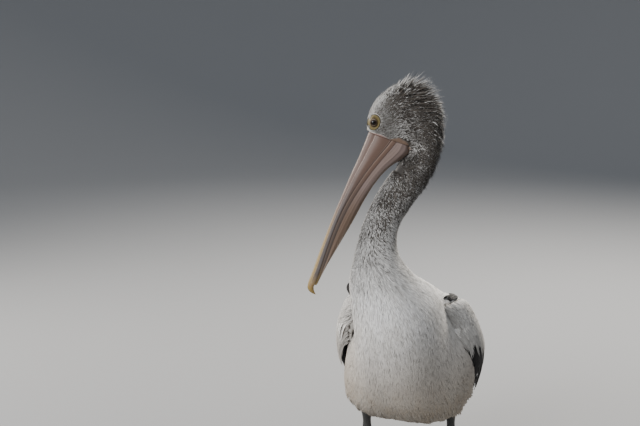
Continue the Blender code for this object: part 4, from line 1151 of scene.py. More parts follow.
def makeShelfCoat(side):
    # The same coverts over the shelf above the arm
    count, share = wingCoat["shelfCount"], np.linspace(0, 1, 4)
    u, inwards = chance.random(count), 0.9 * chance.random(count)
    long = chance.uniform(*wingCoat["long"], count)
    uPath = np.clip(u[:, None] + (long / wingCoat["shelfLong"])[:, None] * share, 0, 1)
    inwardsPath = inwards[:, None] + 0 * uPath
    normal = roofNormal(side, uPath, inwardsPath)
    high = -0.001 * (1 - share) + chance.uniform(*wingCoat["shelfLifts"], (count, 1)) * share
    path = roofSurface(side, uPath, inwardsPath) + normal * high[..., None]
    tufts = {"path": path, "normal": normal, "wide": chance.uniform(*wingCoat["wide"], count),
             "tone": chance.random(count) * 0.7, "mark": np.zeros(count), "uv": wingUv(u, 0.3 * inwards, 0.5)}
    tuftPieces("coat_shelf_" + side, tufts)


# Vanes: flight feathers and large coverts


def vaneMesh(path, normal, wide, thick, camber):
    # Each vane is a grid across and along: point = path + across * wide * x / 2
    # + normal * (shaft ridge - camber * wide * x^2), with a thinner underside below it
    tangent = np.gradient(path, axis=1)
    across = unit(np.cross(normal, tangent))
    x = np.array([-1.0, -0.75, -0.42, -0.07, 0.0, 0.07, 0.42, 0.75, 1.0])
    offset = wide[..., None, None] / 2 * x[:, None]
    raised = np.where(np.abs(x) < 0.01, 0.0007, 0.0) - camber * wide[..., None] * x**2
    top = path[:, :, None] + across[:, :, None] * offset + normal[:, :, None] * raised[..., None]
    under = top - normal[:, :, None] * (thick * (1 - 0.6 * np.abs(x)))[:, None]
    count, rows, columns = top.shape[:3]
    _, quads = slabFaces(top[0], under[0])
    points = np.concatenate([top.reshape(count, -1, 3), under.reshape(count, -1, 3)], axis=1)
    quads = (quads + (np.arange(count) * 2 * rows * columns)[:, None, None]).reshape(-1, 4)
    return points, quads, x


def vanePiece(name, slot, paint, path, normal, wide, thick, camber, ink):
    # Adds the barbs' phase in mm, the place along and across each vane, and its own atlas tile
    points, quads, x = vaneMesh(path, normal, wide, thick, camber)
    count, rows = path.shape[:2]
    run = np.linalg.norm(np.diff(path, axis=1), axis=-1)
    run = np.concatenate([np.zeros((count, 1)), np.cumsum(run, axis=1)], axis=1)
    barb = run[..., None] * 1000 + np.abs(x) * wide[..., None] * 500 * 1.1
    share = np.broadcast_to(np.linspace(0, 1, rows)[None, :, None], barb.shape)
    edge = np.broadcast_to(np.abs(x), barb.shape)
    tone = np.broadcast_to(chance.random(count)[:, None, None], barb.shape)
    columns = math.ceil(math.sqrt(count * 2.0))
    tileRow, tileColumn = np.divmod(np.arange(count), columns)
    deep = math.ceil(count / columns)
    left = (tileColumn[:, None, None] + 0.10 + 0.35 * (x + 1) / 2) / columns
    low = (tileRow[:, None, None] + 0.06 + 0.88 * share) / deep
    bakeTop = np.stack(np.broadcast_arrays(left, low), axis=-1).reshape(count, -1, 2)
    bakeUnder = bakeTop + np.array([0.45 / columns, 0.0])
    bake = np.concatenate([bakeTop, bakeUnder], axis=1)

    def twice(value):
        flat = value.reshape(count, -1)
        return np.concatenate([flat, flat], axis=1)

    inked = np.broadcast_to(np.asarray(ink, float).reshape(-1, 1, 1), barb.shape)
    values = {"barb": twice(barb), "tip": twice(share), "edge": twice(edge), "tone": twice(tone),
              "ink": twice(inked)}
    return meshPiece(name, points, quads, paint, None, bake, values)


vaneHues = {
    "white": (0.80, 0.785, 0.76), "soiled": (0.60, 0.57, 0.52), "root": (0.42, 0.40, 0.37),
    "whiteShaft": (0.62, 0.58, 0.50), "black": (0.006, 0.006, 0.007), "faded": (0.018, 0.016, 0.015),
    "worn": (0.06, 0.05, 0.042), "blackShaft": (0.045, 0.04, 0.036),
}


def vanePaint(name):
    # Black or white vanes: fine slanting barbs, a pale shaft on the black, worn brown edges; the
    # white ones darker towards the root as painted shade under the coverts
    hues = vaneHues
    paint = Paint(name, 0.42, {"Specular IOR Level": 0.12})
    barb, edge, tip = (paint.attribute(label) for label in ("barb", "edge", "tip"))
    tone, ink = paint.attribute("tone"), paint.attribute("ink")
    fine = paint.wave(barb * 5.2 + paint.noise(160.0) * 5.0)
    strands = paint.noise(70.0, 2.0)
    shaft = 1.0 - paint.ramp(edge, 0.02, 0.07)
    white = paint.mix(tone * 0.5 + strands * 0.3, hues["white"], hues["soiled"])
    # Darker towards the root: painted shade under the coverts
    white = paint.mix((1.0 - paint.ramp(tip, 0.0, 0.5)) * 0.35, white, hues["root"])
    white = paint.mix(shaft * 0.4, white, hues["whiteShaft"])
    black = paint.mix(strands * 0.6 + tone * 0.3, hues["black"], hues["faded"])
    worn = paint.ramp(edge + paint.noise(45.0) * 0.5, 1.02, 1.45)
    black = paint.mix(worn * 0.6, black, hues["worn"])
    black = paint.mix(shaft * 0.5, black, hues["blackShaft"])
    paint.feed("Base Color", paint.mix(ink, white, black))
    paint.feed("Roughness", 0.62 - ink * 0.08 + fine * 0.03)
    paint.bump(fine * 0.5 + strands * 0.6, 0.00022, 0.8)
    return paint


# Each tier: count, from and to along the wing, roots and tips down it, width, lift, drift back,
# how pointed, ink
wingTiers = {
    "secondary": (18, (0.05, 0.78), (0.40, 0.42), (0.97, 0.99), 0.026, -0.0040, 0.03, 0.45, 1.0),
    "primary": (7, (0.80, 0.98), (0.38, 0.40), (1.00, 1.05), 0.020, -0.0030, 0.0, 0.6, 1.0),
    "greater": (22, (0.02, 0.90), (0.26, 0.28), (0.52, 0.58), 0.019, 0.0022, 0.05, 0.95, 0.0),
}
# How the vanes lie on either side: the white ones further down, the black ones flared off the
# flank, each turned about its length
vaneLie = {
    "left": {"drop": 0.0, "flare": 0.007, "turned": 0.10},
    "right": {"drop": 0.20, "flare": 0.0, "turned": -0.10},
}
vane = {"rows": 16, "thick": 0.0009, "camber": 0.10}


def vaneShape(share, pointed):
    # From a narrow root to full width by a third, then a round or a drawn-out tip
    rise = 0.35 + 0.65 * smoothStep(share / 0.33)
    roundTip = np.sqrt(np.clip(1 - np.clip((share - 0.72) / 0.28, 0, 1) ** 2.4, 0, 1))
    drawn = 1 - smoothStep((share - 0.25) / 0.78)
    return np.clip(rise * (roundTip * (1 - pointed) + drawn * pointed), 0.03, 1)


def tierPaths(side, tier):
    # One tier's vanes from their roots under the coverts, every other one a little higher
    count, span, roots, tips, wide, lift, drift, pointed, ink = wingTiers[tier]
    lie = vaneLie[side]
    share = np.linspace(0, 1, vane["rows"])
    place = (np.arange(count) / (count - 1))[:, None]
    loose = chance.normal(size=(count, 1))
    u = blend(span, place) + drift * share + 0.010 * loose * share
    root = blend(roots, place)
    tip = blend(tips, place) + 0.022 * chance.normal(size=(count, 1))
    v = root + (tip - root) * share
    normal = wingNormal(side, u, v)
    sink = 0.0060 + max(lift, 0.0)
    high = lift - sink * (1 - smoothStep(share / 0.3)) + 0.0009 * (np.arange(count)[:, None] % 2)
    high = high + 0.0012 * loose * share**2 - wristTurn(side, u)
    v = v + lie["drop"] * share * (1 - ink)
    high = high + lie["flare"] * ink * smoothStep((v - 0.45) / 0.15) * smoothStep((1.0 - v) / 0.3)
    path = wingSurface(side, u, v) + normal * high[..., None]
    across = unit(np.cross(normal, unit(np.gradient(path, axis=1))))
    widths = wide * vaneShape(share, pointed) * chance.uniform(0.9, 1.1, (count, 1))
    widths = widths * (1 + 0.05 * np.sin(share * 23 + 6 * chance.random((count, 1))))
    return path, unit(normal + across * lie["turned"]), widths, np.full(count, ink)


# Sizes in metres and shares of the wing; on either side where the first ones start, how far out
# they lie, how high they arch and how much slimmer they are
scapulars = {
    "count": 16, "spread": 0.44, "long": 0.30, "wide": 0.016, "high": 0.0065, "sunk": 0.015,
    "left": {"start": 0.07, "out": 0.06, "arch": 0.001, "slim": 0.45},
    "right": {"start": 0.0, "out": 0.26, "arch": 0.028, "slim": 0.15},
}


def scapularPaths(side):
    # Long black feathers that lie back along the shelf between the wing and the back, the
    # first of them arched up over the wrist
    count, lie = scapulars["count"], scapulars[side]
    share = np.linspace(0, 1, vane["rows"])
    number = np.arange(count)[:, None]
    start = lie["start"] + scapulars["spread"] * np.clip((number - 3) / (count - 4), 0, 1)
    u = start + (scapulars["long"] + 0.03 * chance.normal(size=(count, 1))) * share
    first = np.exp(-(((start - start[0]) / 0.14) ** 2))
    inwards = 0.14 + 0.16 * (number % 3) / 2 + 0.03 * chance.normal(size=(count, 1)) + 0 * u
    inwards = inwards - lie["out"] * first
    normal = roofNormal(side, u, inwards)
    arch = lie["arch"] * first * np.sin(np.pi * np.clip(share / 0.95, 0, 1)) ** 0.7
    high = scapulars["high"] - scapulars["sunk"] * (1 - smoothStep(share / 0.25))
    high = high + 0.0012 * (number % 3) + arch
    path = roofSurface(side, u, inwards) + normal * high[..., None]
    widths = scapulars["wide"] * (1 - lie["slim"] * first) * vaneShape(share, 0.7)
    return path, normal, widths * chance.uniform(0.85, 1.1, (count, 1)), np.ones(count)


def makeWingFeathers(side):
    groups = [tierPaths(side, tier) for tier in wingTiers] + [scapularPaths(side)]
    path, normal, widths, ink = (np.concatenate(items) for items in zip(*groups))
    sizes = (vane["thick"], vane["camber"])
    vanePiece("wing_feathers_" + side, "plumage_black", vanes, path, normal, widths, *sizes, ink)
    print("wing", side, len(path), "feathers")


# Tail

# Metres, but for the counts and the outer feathers' loss of length: root, half width of the fan
# at the root and what is added to it by the tip, droop, and slope down from the middle
tail = {
    "count": 20, "long": 0.150, "shorter": 0.22, "wide": 0.021, "rows": 18, "thick": 0.0010,
    "camber": 0.05, "root": (0.372, 0.3345), "fan": (0.024, 0.052), "droop": 0.012, "roof": 0.0022,
}


def makeTail():
    # A shallow fan: each feather leaves the tail's root further out than it starts
    count, (rootBack, rootHigh) = tail["count"], tail["root"]
    share = np.linspace(0, 1, tail["rows"])
    span = (2 * np.arange(count) / (count - 1) - 1)[:, None]
    long = tail["long"] * (1 - tail["shorter"] * span**2) * chance.uniform(0.97, 1.0, (count, 1))
    x = span * (tail["fan"][0] + tail["fan"][1] * share)
    y = rootBack + long * share
    z = rootHigh - tail["droop"] * share - tail["droop"] * span**2 * share - tail["roof"] * np.abs(span)
    path = np.stack(np.broadcast_arrays(x, y, z), axis=-1)
    normal = np.zeros_like(path)
    normal[..., 2] = 1.0
    normal[..., 0] = 0.20 * span + np.where(span <= 0, 0.10, -0.10)
    widths = tail["wide"] * vaneShape(share, 0.15) * np.ones((count, 1))
    sizes = (tail["thick"], tail["camber"])
    tailVanes = vanePiece(
        "tail_feathers", "plumage_black", vanes, path, unit(normal), widths, *sizes, np.ones(count))
    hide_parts("tail")


# Bill

# Forward, culmen, edge of the upper half, lower edge of the jaw bar, pouch bottom, half width, mm
billRows = np.array((
    (-3.7, 110.0, 56.0, 42.0, -3.0, 29.0),
    (12.0, 110.0, 60.5, 47.0, -7.0, 28.5),
    (30.0, 110.5, 67.0, 53.5, 2.0, 27.5),
    (63.0, 111.5, 78.0, 65.0, 27.0, 24.0),
    (110.0, 115.0, 91.0, 78.5, 47.0, 20.0),
    (160.0, 117.5, 102.0, 90.0, 58.5, 18.0),
    (215.0, 120.0, 109.0, 98.0, 66.5, 17.0),
    (272.0, 121.0, 111.0, 101.5, 76.5, 17.5),
    (327.0, 121.0, 110.0, 102.0, 88.0, 19.0),
    (375.0, 120.5, 108.5, 102.5, 98.0, 20.0),
    (405.0, 121.5, 107.5, 103.0, 102.0, 17.0),
))
# The hooked nail: forward, top, low, half width, mm
nailRows = np.array((
    (412.0, 121.0, 107.0, 14.0),
    (420.0, 119.0, 103.0, 11.0),
    (427.0, 113.0, 97.0, 8.0),
    (431.0, 104.0, 93.0, 4.5),
    (430.0, 97.0, 92.0, 2.0),
))
# The upper half's section: share of the half width, share of the height
plateSection = np.array((
    (0.88, 0.01), (0.97, 0.03), (1.0, 0.10), (0.99, 0.22), (0.94, 0.42), (0.84, 0.58), (0.72, 0.70),
    (0.66, 0.745), (0.60, 0.745), (0.54, 0.705), (0.48, 0.70), (0.42, 0.76), (0.34, 0.88), (0.20, 0.97),
    (0.0, 1.0),
))


mirrored = np.array([-1.0, 1.0])


def headTube(forward, outline):
    # Rings from outlines (count, sides, 2) of (left, up) in mm at each distance forward
    return tube(headPoint(forward[:, None], outline[..., 1], outline[..., 0]))


def bothSides(half):
    # A half outline from its lower edge to the top, closed through its mirror image
    return np.concatenate([half, half[:, -2::-1] * mirrored], axis=1)


billLong = 430.0  # mm from the face to the nail's end


def tubeValues(around, forward):
    # The place round and along a tube at each of its points, those of its two ends last
    along = np.clip(forward / billLong, 0, 1)
    return {
        "around": np.append(np.tile(around, len(forward)), [0.5, 0.5]),
        "forward": np.append(np.repeat(along, len(around)), [0.0, 1.0]),
    }


def makeUpperBill():
    # The plate, groove and ridge sections carried along the bill and over the nail
    sides = 45
    forward = np.linspace(billRows[0, 0], billRows[-1, 0], 190)
    rows = smoothThrough(billRows, billRows[:, 0], forward)
    hook = smoothThrough(nailRows, np.arange(5.0), np.linspace(0, 4, 26))
    culmen = np.concatenate([rows[:, 1], hook[:, 1]])
    edge = np.concatenate([rows[:, 2] + 0.15, hook[:, 2]])
    half = np.concatenate([rows[:, 5], hook[:, 3]])
    forward = np.concatenate([forward, hook[:, 0]])
    around = np.linspace(0, 1, sides)
    shaped = smoothThrough(plateSection, np.linspace(0, 1, len(plateSection)), around)
    flat = smoothStep((forward - 395.0) / 25.0)[:, None]
    plain = np.stack([np.cos(np.linspace(-0.5, 1, sides) * np.pi / 2), around**0.8], axis=-1)
    left = half[:, None] * (shaped[:, 0] * (1 - flat) + plain[:, 0] * flat)
    up = edge[:, None] + (culmen - edge)[:, None] * (shaped[:, 1] * (1 - flat) + plain[:, 1] * flat)
    points, quads, triangles = headTube(forward, bothSides(np.stack([left, up], axis=-1)))
    values = tubeValues(np.concatenate([around, around[-2::-1]]), forward)
    upper = meshPiece("bill_upper_horn", points, quads, billPaint(), triangles, None, values)
    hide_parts("bill_upper")


billHues = {
    "plate": (0.108, 0.063, 0.046), "plateFore": (0.040, 0.036, 0.036), "plateEnd": (0.22, 0.14, 0.045),
    "cloud": (0.144, 0.088, 0.063), "ridge": (0.122, 0.075, 0.057), "ridgeFore": (0.250, 0.169, 0.060),
    "hatch": (0.17, 0.105, 0.085), "groove": (0.060, 0.026, 0.020), "grooveLight": (0.095, 0.047, 0.035),
    "rim": (0.36, 0.26, 0.21), "rimFore": (0.30, 0.21, 0.10), "nail": (0.24, 0.155, 0.040),
}


def billPaint():
    # Mauve-brown plate with a pale rim, partly a painted highlight, a red-brown groove deepened by
    # painted shade, a pink ridge with fine cross lines; the plate darkens to slate beyond the middle
    # and both turn ochre towards the nail
    hues = billHues
    paint = Paint("upper_bill_horn", 0.36)
    around, forward = paint.attribute("around"), paint.attribute("forward")
    cloudy = paint.noise(22.0, 5.0)
    plate = paint.mix(paint.ramp(forward + cloudy * 0.10, 0.20, 0.62), hues["plate"], hues["plateFore"])
    plate = paint.mix(paint.ramp(forward, 0.86, 0.97), plate, hues["plateEnd"])
    plate = paint.mix(cloudy * 0.35, plate, hues["cloud"])
    ridgeTone = paint.mix(paint.ramp(forward, 0.40, 0.75), hues["ridge"], hues["ridgeFore"])
    hatch = paint.wave(forward * 900.0 + around * 60.0)
    ridgeTone = paint.mix(paint.ramp(hatch, 0.1, 0.9) * 0.10, ridgeTone, hues["hatch"])
    # The groove: red-brown, made darker as painted shade in the recess
    groove = paint.mix(cloudy, hues["groove"], hues["grooveLight"])
    rim = paint.mix(paint.ramp(forward, 0.5, 0.9), hues["rim"], hues["rimFore"])
    inRidge = paint.ramp(around, 0.70, 0.74)
    inGrooveShade = paint.ramp(around, 0.585, 0.625) * (1.0 - inRidge)
    # The pale rim along the plate's upper edge: partly its own colour, partly a painted highlight
    onRimHighlight = paint.ramp(around, 0.50, 0.53) * (1.0 - paint.ramp(around, 0.565, 0.595))
    lip = 1.0 - paint.ramp(around, 0.10, 0.15)
    colour = paint.mix(inRidge, plate, ridgeTone)
    colour = paint.mix(inGrooveShade, colour, groove)
    colour = paint.mix(onRimHighlight * 0.85, colour, rim)
    colour = paint.mix(lip * 0.6, colour, rim)
    colour = paint.mix(paint.ramp(forward, 0.955, 0.975), colour, hues["nail"])
    paint.feed("Base Color", colour)
    paint.feed("Roughness", 0.42 + cloudy * 0.20)
    scratch = paint.noise(260.0, 3.0)
    paint.bump(scratch * 0.5 + cloudy * 0.8 + hatch * inRidge * 0.2, 0.0004, 0.6)
    return paint


def makeLowerBill():
    # Two jaw bars in one band under the plate, and the pouch of skin slung below them
    forward = np.linspace(billRows[0, 0], billRows[-1, 0], 170)
    _, _, edge, bar, bottom, half = smoothThrough(billRows, billRows[:, 0], forward).T
    top, width = edge - 0.15, half - 2.5
    t = np.linspace(0, 1, 14)
    bulge = 0.9 * np.sin(np.pi * t) + 0.5 * np.exp(-(((t - 0.12) / 0.08) ** 2))
    outline = np.stack([width[:, None] + bulge, top[:, None] + (bar - top)[:, None] * t], axis=-1)
    outline = np.concatenate([outline, outline[:, ::-1] * mirrored], axis=1)
    points, quads, triangles = headTube(forward, outline)
    values = tubeValues(np.concatenate([t, t[::-1]]), forward)
    jaw = meshPiece("bill_lower_horn", points, quads, jawPaint(), triangles, None, values)
    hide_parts("bill_lower")
    makePouch(forward, bar - 0.3, bottom, width)


# Half width down the pouch as a share of the jaw's, the least depth at which it starts and the
# depth at which its folds are full, mm
pouchSag = {
    "at": (0, 0.3, 0.6, 0.88, 1.0), "wide": (0.97, 1.05, 0.93, 0.52, 0.0), "least": 1.2, "full": 30.0,
}


def makePouch(forward, low, bottom, width):
    # A slung skin, widest a third of the way down, with soft lengthwise folds where it is deep
    keep = low - bottom > pouchSag["least"]
    forward, low, bottom, width = (v[keep] for v in (forward, low, bottom, width))
    t = np.linspace(0, 1, 40)
    drop = (low - bottom)[:, None]
    spread = np.interp(t, pouchSag["at"], pouchSag["wide"])
    loose = np.clip(drop / pouchSag["full"], 0, 1)
    along = forward[:, None]
    fold = np.sin(t * 38 + 0.02 * along + 1.3 * np.sin(along * 0.021)) * 0.12
    fold = fold + 0.55 * np.exp(-(((t - 0.30 - 0.0012 * along) / 0.035) ** 2))
    left = width[:, None] * spread + fold * loose * (1 - t) ** 0.5
    up = low[:, None] - drop * t**0.92
    points, quads, triangles = headTube(forward, bothSides(np.stack([left, up], axis=-1)))
    values = tubeValues(np.concatenate([t, t[-2::-1]]), forward)
    pouch = meshPiece("pouch_skin", points, quads, pouchPaint(), triangles, None, values)
    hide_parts("pouch")


jawHues = {
    "bar": (0.143, 0.084, 0.061), "barFore": (0.084, 0.065, 0.054), "cloud": (0.17, 0.115, 0.09),
    "lip": (0.30, 0.21, 0.16), "seam": (0.03, 0.015, 0.012), "end": (0.22, 0.145, 0.045),
}


def jawPaint():
    # Pink-brown bar with a pale upper lip, darkening forward and ochre at the end
    hues = jawHues
    paint = Paint("lower_bill_horn", 0.38)
    around, forward = paint.attribute("around"), paint.attribute("forward")
    cloudy = paint.noise(24.0, 4.0)
    base = paint.mix(paint.ramp(forward + cloudy * 0.1, 0.15, 0.65), hues["bar"], hues["barFore"])
    base = paint.mix(cloudy * 0.3, base, hues["cloud"])
    lip = paint.ramp(around, 0.04, 0.09) * (1.0 - paint.ramp(around, 0.22, 0.32))
    colour = paint.mix(lip * 0.55, base, hues["lip"])
    colour = paint.mix(1.0 - paint.ramp(around, 0.0, 0.05), colour, hues["seam"])
    colour = paint.mix(paint.ramp(forward, 0.80, 0.95), colour, hues["end"])
    paint.feed("Base Color", colour)
    paint.bump(paint.noise(240.0) * 0.5 + cloudy, 0.0004, 0.5)
    return paint


pouchHues = {
    "skin": (0.254, 0.189, 0.182), "cloud": (0.182, 0.131, 0.098), "fore": (0.145, 0.095, 0.065),
    "low": (0.17, 0.10, 0.052), "crease": (0.065, 0.040, 0.030),
}


def pouchPaint():
    # Tan skin, redder along its lower edge, crossed by fine creases
    hues = pouchHues
    paint = Paint("pouch_membrane", 0.46)
    around, forward = paint.attribute("around"), paint.attribute("forward")
    cloudy = paint.noise(18.0, 5.0)
    base = paint.mix(cloudy, hues["skin"], hues["cloud"])
    base = paint.mix(paint.ramp(forward, 0.18, 0.55), base, hues["fore"])
    lower = paint.ramp(around, 0.55, 0.95)
    base = paint.mix(lower * 0.55, base, hues["low"])
    creases = paint.wave(around * 95.0 + cloudy * 9.0 + forward * 12.0)
    base = paint.mix(paint.ramp(creases, 0.4, 1.0) * 0.14, base, hues["crease"])
    paint.feed("Base Color", base)
    paint.bump(creases * 0.15 + paint.noise(190.0) * 0.6, 0.0005, 0.5)
    return paint


# Eyes


eyeHues = {
    "iris": (0.022, 0.012, 0.006), "irisDeep": (0.009, 0.005, 0.003), "pupil": (0.002, 0.002, 0.002),
    "rim": (0.20, 0.15, 0.10),
}


def eyePaint(side, word):
    # Dark brown iris round a black pupil, told apart by the distance from the eye's own axis
    hues = eyeHues
    wet = {"Coat Weight": 0.12, "Coat Roughness": 0.02, "Specular IOR Level": 0.25}
    paint = Paint("eyeball_" + word, 0.06, wet)
    centre, out, _, _ = eyeFrame(side)
    middle = tuple(centre + bodyShift)
    offset = paint.node("ShaderNodeVectorMath", {"operation": "SUBTRACT"}, {0: paint.place(), 1: middle})
    sockets = {0: offset, 1: tuple(out)}
    reach = paint.node("ShaderNodeVectorMath", {"operation": "DOT_PRODUCT"}, sockets, output=1)
    facing = reach / eyeSeat["radius"]
    iris = paint.mix(paint.noise(900.0), hues["iris"], hues["irisDeep"])
    colour = paint.mix(paint.ramp(facing, 0.925, 0.945), iris, hues["pupil"])
    colour = paint.mix(1.0 - paint.ramp(facing, 0.70, 0.76), colour, hues["rim"])
    paint.feed("Base Color", colour)
    return paint


ringHues = {
    "skin": (0.150, 0.116, 0.042), "cloud": (0.110, 0.084, 0.034), "inner": (0.125, 0.084, 0.034),
    "outline": (0.022, 0.018, 0.011), "lid": (0.025, 0.018, 0.014),
}


def eyeRingPaint():
    # Bare ochre-yellow skin with a dark outer line and a dark lid margin
    hues = ringHues
    paint = Paint("eye_ring_skin", 0.55, {"Specular IOR Level": 0.25})
    reach = paint.attribute("reach")
    cloudy = paint.noise(160.0, 4.0)
    base = paint.mix(cloudy, hues["skin"], hues["cloud"])
    base = paint.mix(paint.ramp(reach, 0.45, 0.80) * 0.6, base, hues["inner"])
    base = paint.mix(1.0 - paint.ramp(reach, 0.12, 0.26), base, hues["outline"])
    base = paint.mix(paint.ramp(reach, 0.84, 0.93), base, hues["lid"])
    paint.feed("Base Color", base)
    wrinkles = paint.wave(reach * 46.0 + cloudy * 5.0)
    paint.bump(wrinkles * 0.5 + cloudy, 0.0004, 0.7)
    return paint


def surfaceUnder(rim, side, skin):
    # How high the head's surface stands under each point of a rim, smoothed round it
    centre, out, along, across = eyeFrame(side)
    away = skin - centre
    away = away[away @ out > -0.012]
    flat = np.stack([away @ along, away @ across], axis=-1)
    gap = np.linalg.norm(flat[None] - rim[:, None], axis=-1)
    level = (away @ out)[np.argmin(gap, axis=1)]
    return sum(np.roll(level, shift) for shift in range(-3, 4)) / 7


def bandFaces(outer, inner):
    # A closed plate between two grids whose last column meets the first
    rows, sides = outer.shape[:2]
    top, under = gridQuads(rows, sides, closed=True), rows * sides
    index = np.arange(sides)
    after = (index + 1) % sides
    rims = [
        np.stack([after + k, index + k, index + k + under, after + k + under], axis=1)[:, ::sign]
        for k, sign in ((0, 1), ((rows - 1) * sides, -1))
    ]
    points = np.concatenate([outer.reshape(-1, 3), inner.reshape(-1, 3)])
    return points, np.concatenate([top, top[:, ::-1] + under] + rims)


def makeEyeRing(side, word, skin, paint):
    # From the head's surface up to a slanted, pointed lid opening on the ball
    centre, out, along, across = eyeFrame(side)
    theta = np.linspace(0, 2 * np.pi, eyeRing["sides"], endpoint=False)
    reach = np.linspace(0, 1, eyeRing["rows"])[:, None]
    slant = theta - side * eyeRing["slant"]
    long, short = eyeRing["opening"]
    opening = long * short / np.hypot(short * np.cos(slant), long * np.sin(slant))
    rimAlong, rimAcross = eyeRing["along"] * np.cos(theta), eyeRing["across"] * np.sin(theta)
    a = rimAlong * (1 - reach) + opening * np.cos(theta) * reach
    b = rimAcross * (1 - reach) + opening * np.sin(theta) * reach
    level = surfaceUnder(np.stack([rimAlong, rimAcross], axis=-1), side, skin)
    onBall = np.sqrt(np.clip((eyeSeat["radius"] + 0.0004) ** 2 - (a**2 + b**2), 0, None))
    puff = eyeRing["puff"] * np.sin(np.pi * reach) ** 0.8
    towards = smoothStep((reach - 0.15) / 0.85)
    lidEdge = onBall + eyeRing["lid"] * np.exp(-(((reach - 0.93) / 0.06) ** 2))
    height = (level - 0.0003) * (1 - towards) + lidEdge * towards + puff
    ring = centre + a[..., None] * along + b[..., None] * across + height[..., None] * out
    points, quads = bandFaces(ring, ring - out * eyeRing["thick"])
    values = {"reach": np.tile(np.broadcast_to(reach, a.shape).ravel(), 2)}
    meshPiece("eye_ring_" + word, points, quads, paint, None, None, values)


def makeEyeball(side, word):
    centre, out, along, across = eyeFrame(side)
    swing = np.linspace(0, 2 * np.pi, 64, endpoint=False)
    polar, swing = np.meshgrid(np.linspace(0.02, np.pi - 0.02, 40), swing, indexing="ij")
    level = np.cos(swing)[..., None] * along + np.sin(swing)[..., None] * across
    ball = np.cos(polar)[..., None] * out + np.sin(polar)[..., None] * level
    points, quads, triangles = tube(centre + ball * eyeSeat["radius"])
    eye = meshPiece("eyeball_" + word, points, quads, eyePaint(side, word), triangles)
    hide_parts("eye_" + word)


def makeEyes():
    paint = eyeRingPaint()
    at, turn = np.meshgrid(np.linspace(knot("crown"), loftLength, 200), np.linspace(-np.pi, np.pi, 300))
    skin = bodySurface(at, turn, coatDepth(at)).reshape(-1, 3)
    for side, word in ((1, "left"), (-1, "right")):
        makeEyeRing(side, word, skin, paint)
        makeEyeball(side, word)


# Legs and feet

# Each toe: degrees out from the foot's heading, length, half width, height
toes = {
    "middle": (0.0, 0.108, 0.0072, 0.0135),
    "outer": (-24.0, 0.102, 0.0066, 0.0125),
    "inner": (25.0, 0.082, 0.0066, 0.0125),
    "hind": (100.0, 0.050, 0.0055, 0.0110),
}
# Degrees that the foot turns out, then metres: the web, the claws and the gap before them, and the
# ankle's height, its half widths at four heights and how far ahead the toes start
footSize = {
    "toeOut": 14.0, "webThick": 0.0030, "webFold": 0.0012, "webSag": 0.24, "claw": 0.017, "gap": 0.0003,
    "high": 0.030, "at": (0, 0.008, 0.018, 0.030), "across": (0.0130, 0.0150, 0.0125, 0.0110),
    "along": (0.0150, 0.0170, 0.0150, 0.0135), "ahead": 0.004,
}
legHues = {"skin": (0.014, 0.014, 0.013), "dust": (0.034, 0.033, 0.030), "seam": (0.055, 0.053, 0.048)}
clawHues = {"horn": (0.020, 0.018, 0.017), "tip": (0.070, 0.060, 0.052)}


def legPaint():
    # Slate skin in small scales, paler in their seams, dusty on top
    paint = Paint("leg_scales", 0.48)
    cells = {"Vector": paint.place(), "Scale": 330.0}
    crack = paint.node("ShaderNodeTexVoronoi", {"feature": "DISTANCE_TO_EDGE"}, cells, output="Distance")
    seam = 1.0 - paint.ramp(crack, 0.02, 0.16)
    cloudy = paint.noise(30.0, 4.0)
    base = paint.mix(cloudy, legHues["skin"], legHues["dust"])
    paint.feed("Base Color", paint.mix(seam * 0.45, base, legHues["seam"]))
    paint.feed("Roughness", 0.40 + cloudy * 0.25)
    paint.bump(paint.ramp(crack, 0.0, 0.22) * 0.8 + paint.noise(500.0) * 0.2, 0.0005, 0.8)
    return paint


def clawPaint():
    paint = Paint("claw_horn", 0.3)
    paint.feed("Base Color", paint.mix(paint.noise(140.0, 4.0), clawHues["horn"], clawHues["tip"]))
    paint.bump(paint.noise(500.0), 0.0002, 0.5)
    return paint


def makeLeg(side, paint):
    # Cross scutes down the front of the lower leg
    z = np.linspace(legs["heights"][0], legs["heights"][-1], 130)
    rings = legRings(side, z, 48)
    outward = unit(rings - rings.mean(axis=1, keepdims=True))
    lowPart = smoothStep((legs[side][1][2] - 0.012 - z) / 0.02)
    scutes = 0.00045 * np.abs(np.sin(z * 2 * np.pi / 0.0095)) ** 0.4 * lowPart
    facing = np.clip(-np.sin(np.linspace(0, 2 * np.pi, 48, endpoint=False)), 0, 1) ** 0.5
    rings = rings + outward * (scutes[:, None] * facing)[..., None]
    points, quads, triangles = tube(rings)
    piece = meshPiece("leg_skin_" + side, points, quads, paint, triangles)
    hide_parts("thigh_" + side, "shank_" + side)


def toeDirection(side, angle):
    # The toe's heading and the level way across it
    heading = outwards[side] * (math.radians(footSize["toeOut"]) - math.radians(angle))
    direction = np.array([math.sin(heading), -math.cos(heading), 0.0])
    return direction, np.array([direction[1], -direction[0], 0.0])


def toeTube(root, direction, across, long, half, high):
    # Rings along the toe, flat below and humped at its three knuckles, with small cross scutes
    share = np.linspace(0, 1, 70)
    turn = np.linspace(0, 2 * np.pi, 28, endpoint=False)
    knuckle = 1 + 0.10 * np.cos(share * 6 * np.pi)
    size = (1 - 0.38 * share) * knuckle
    scute = 1 + 0.05 * np.abs(np.sin(share * long / 0.0042 * np.pi))
    tall = high * (1 - 0.42 * share) * knuckle * scute
    centre = root + direction * long * share[:, None]
    rings = centre[:, None] + across * (np.cos(turn) * half * size[:, None])[..., None]
    rings[..., 2] = np.clip(np.sin(turn) * 0.75 + 0.25, 0.0, None) * tall[:, None]
    return tube(rings)


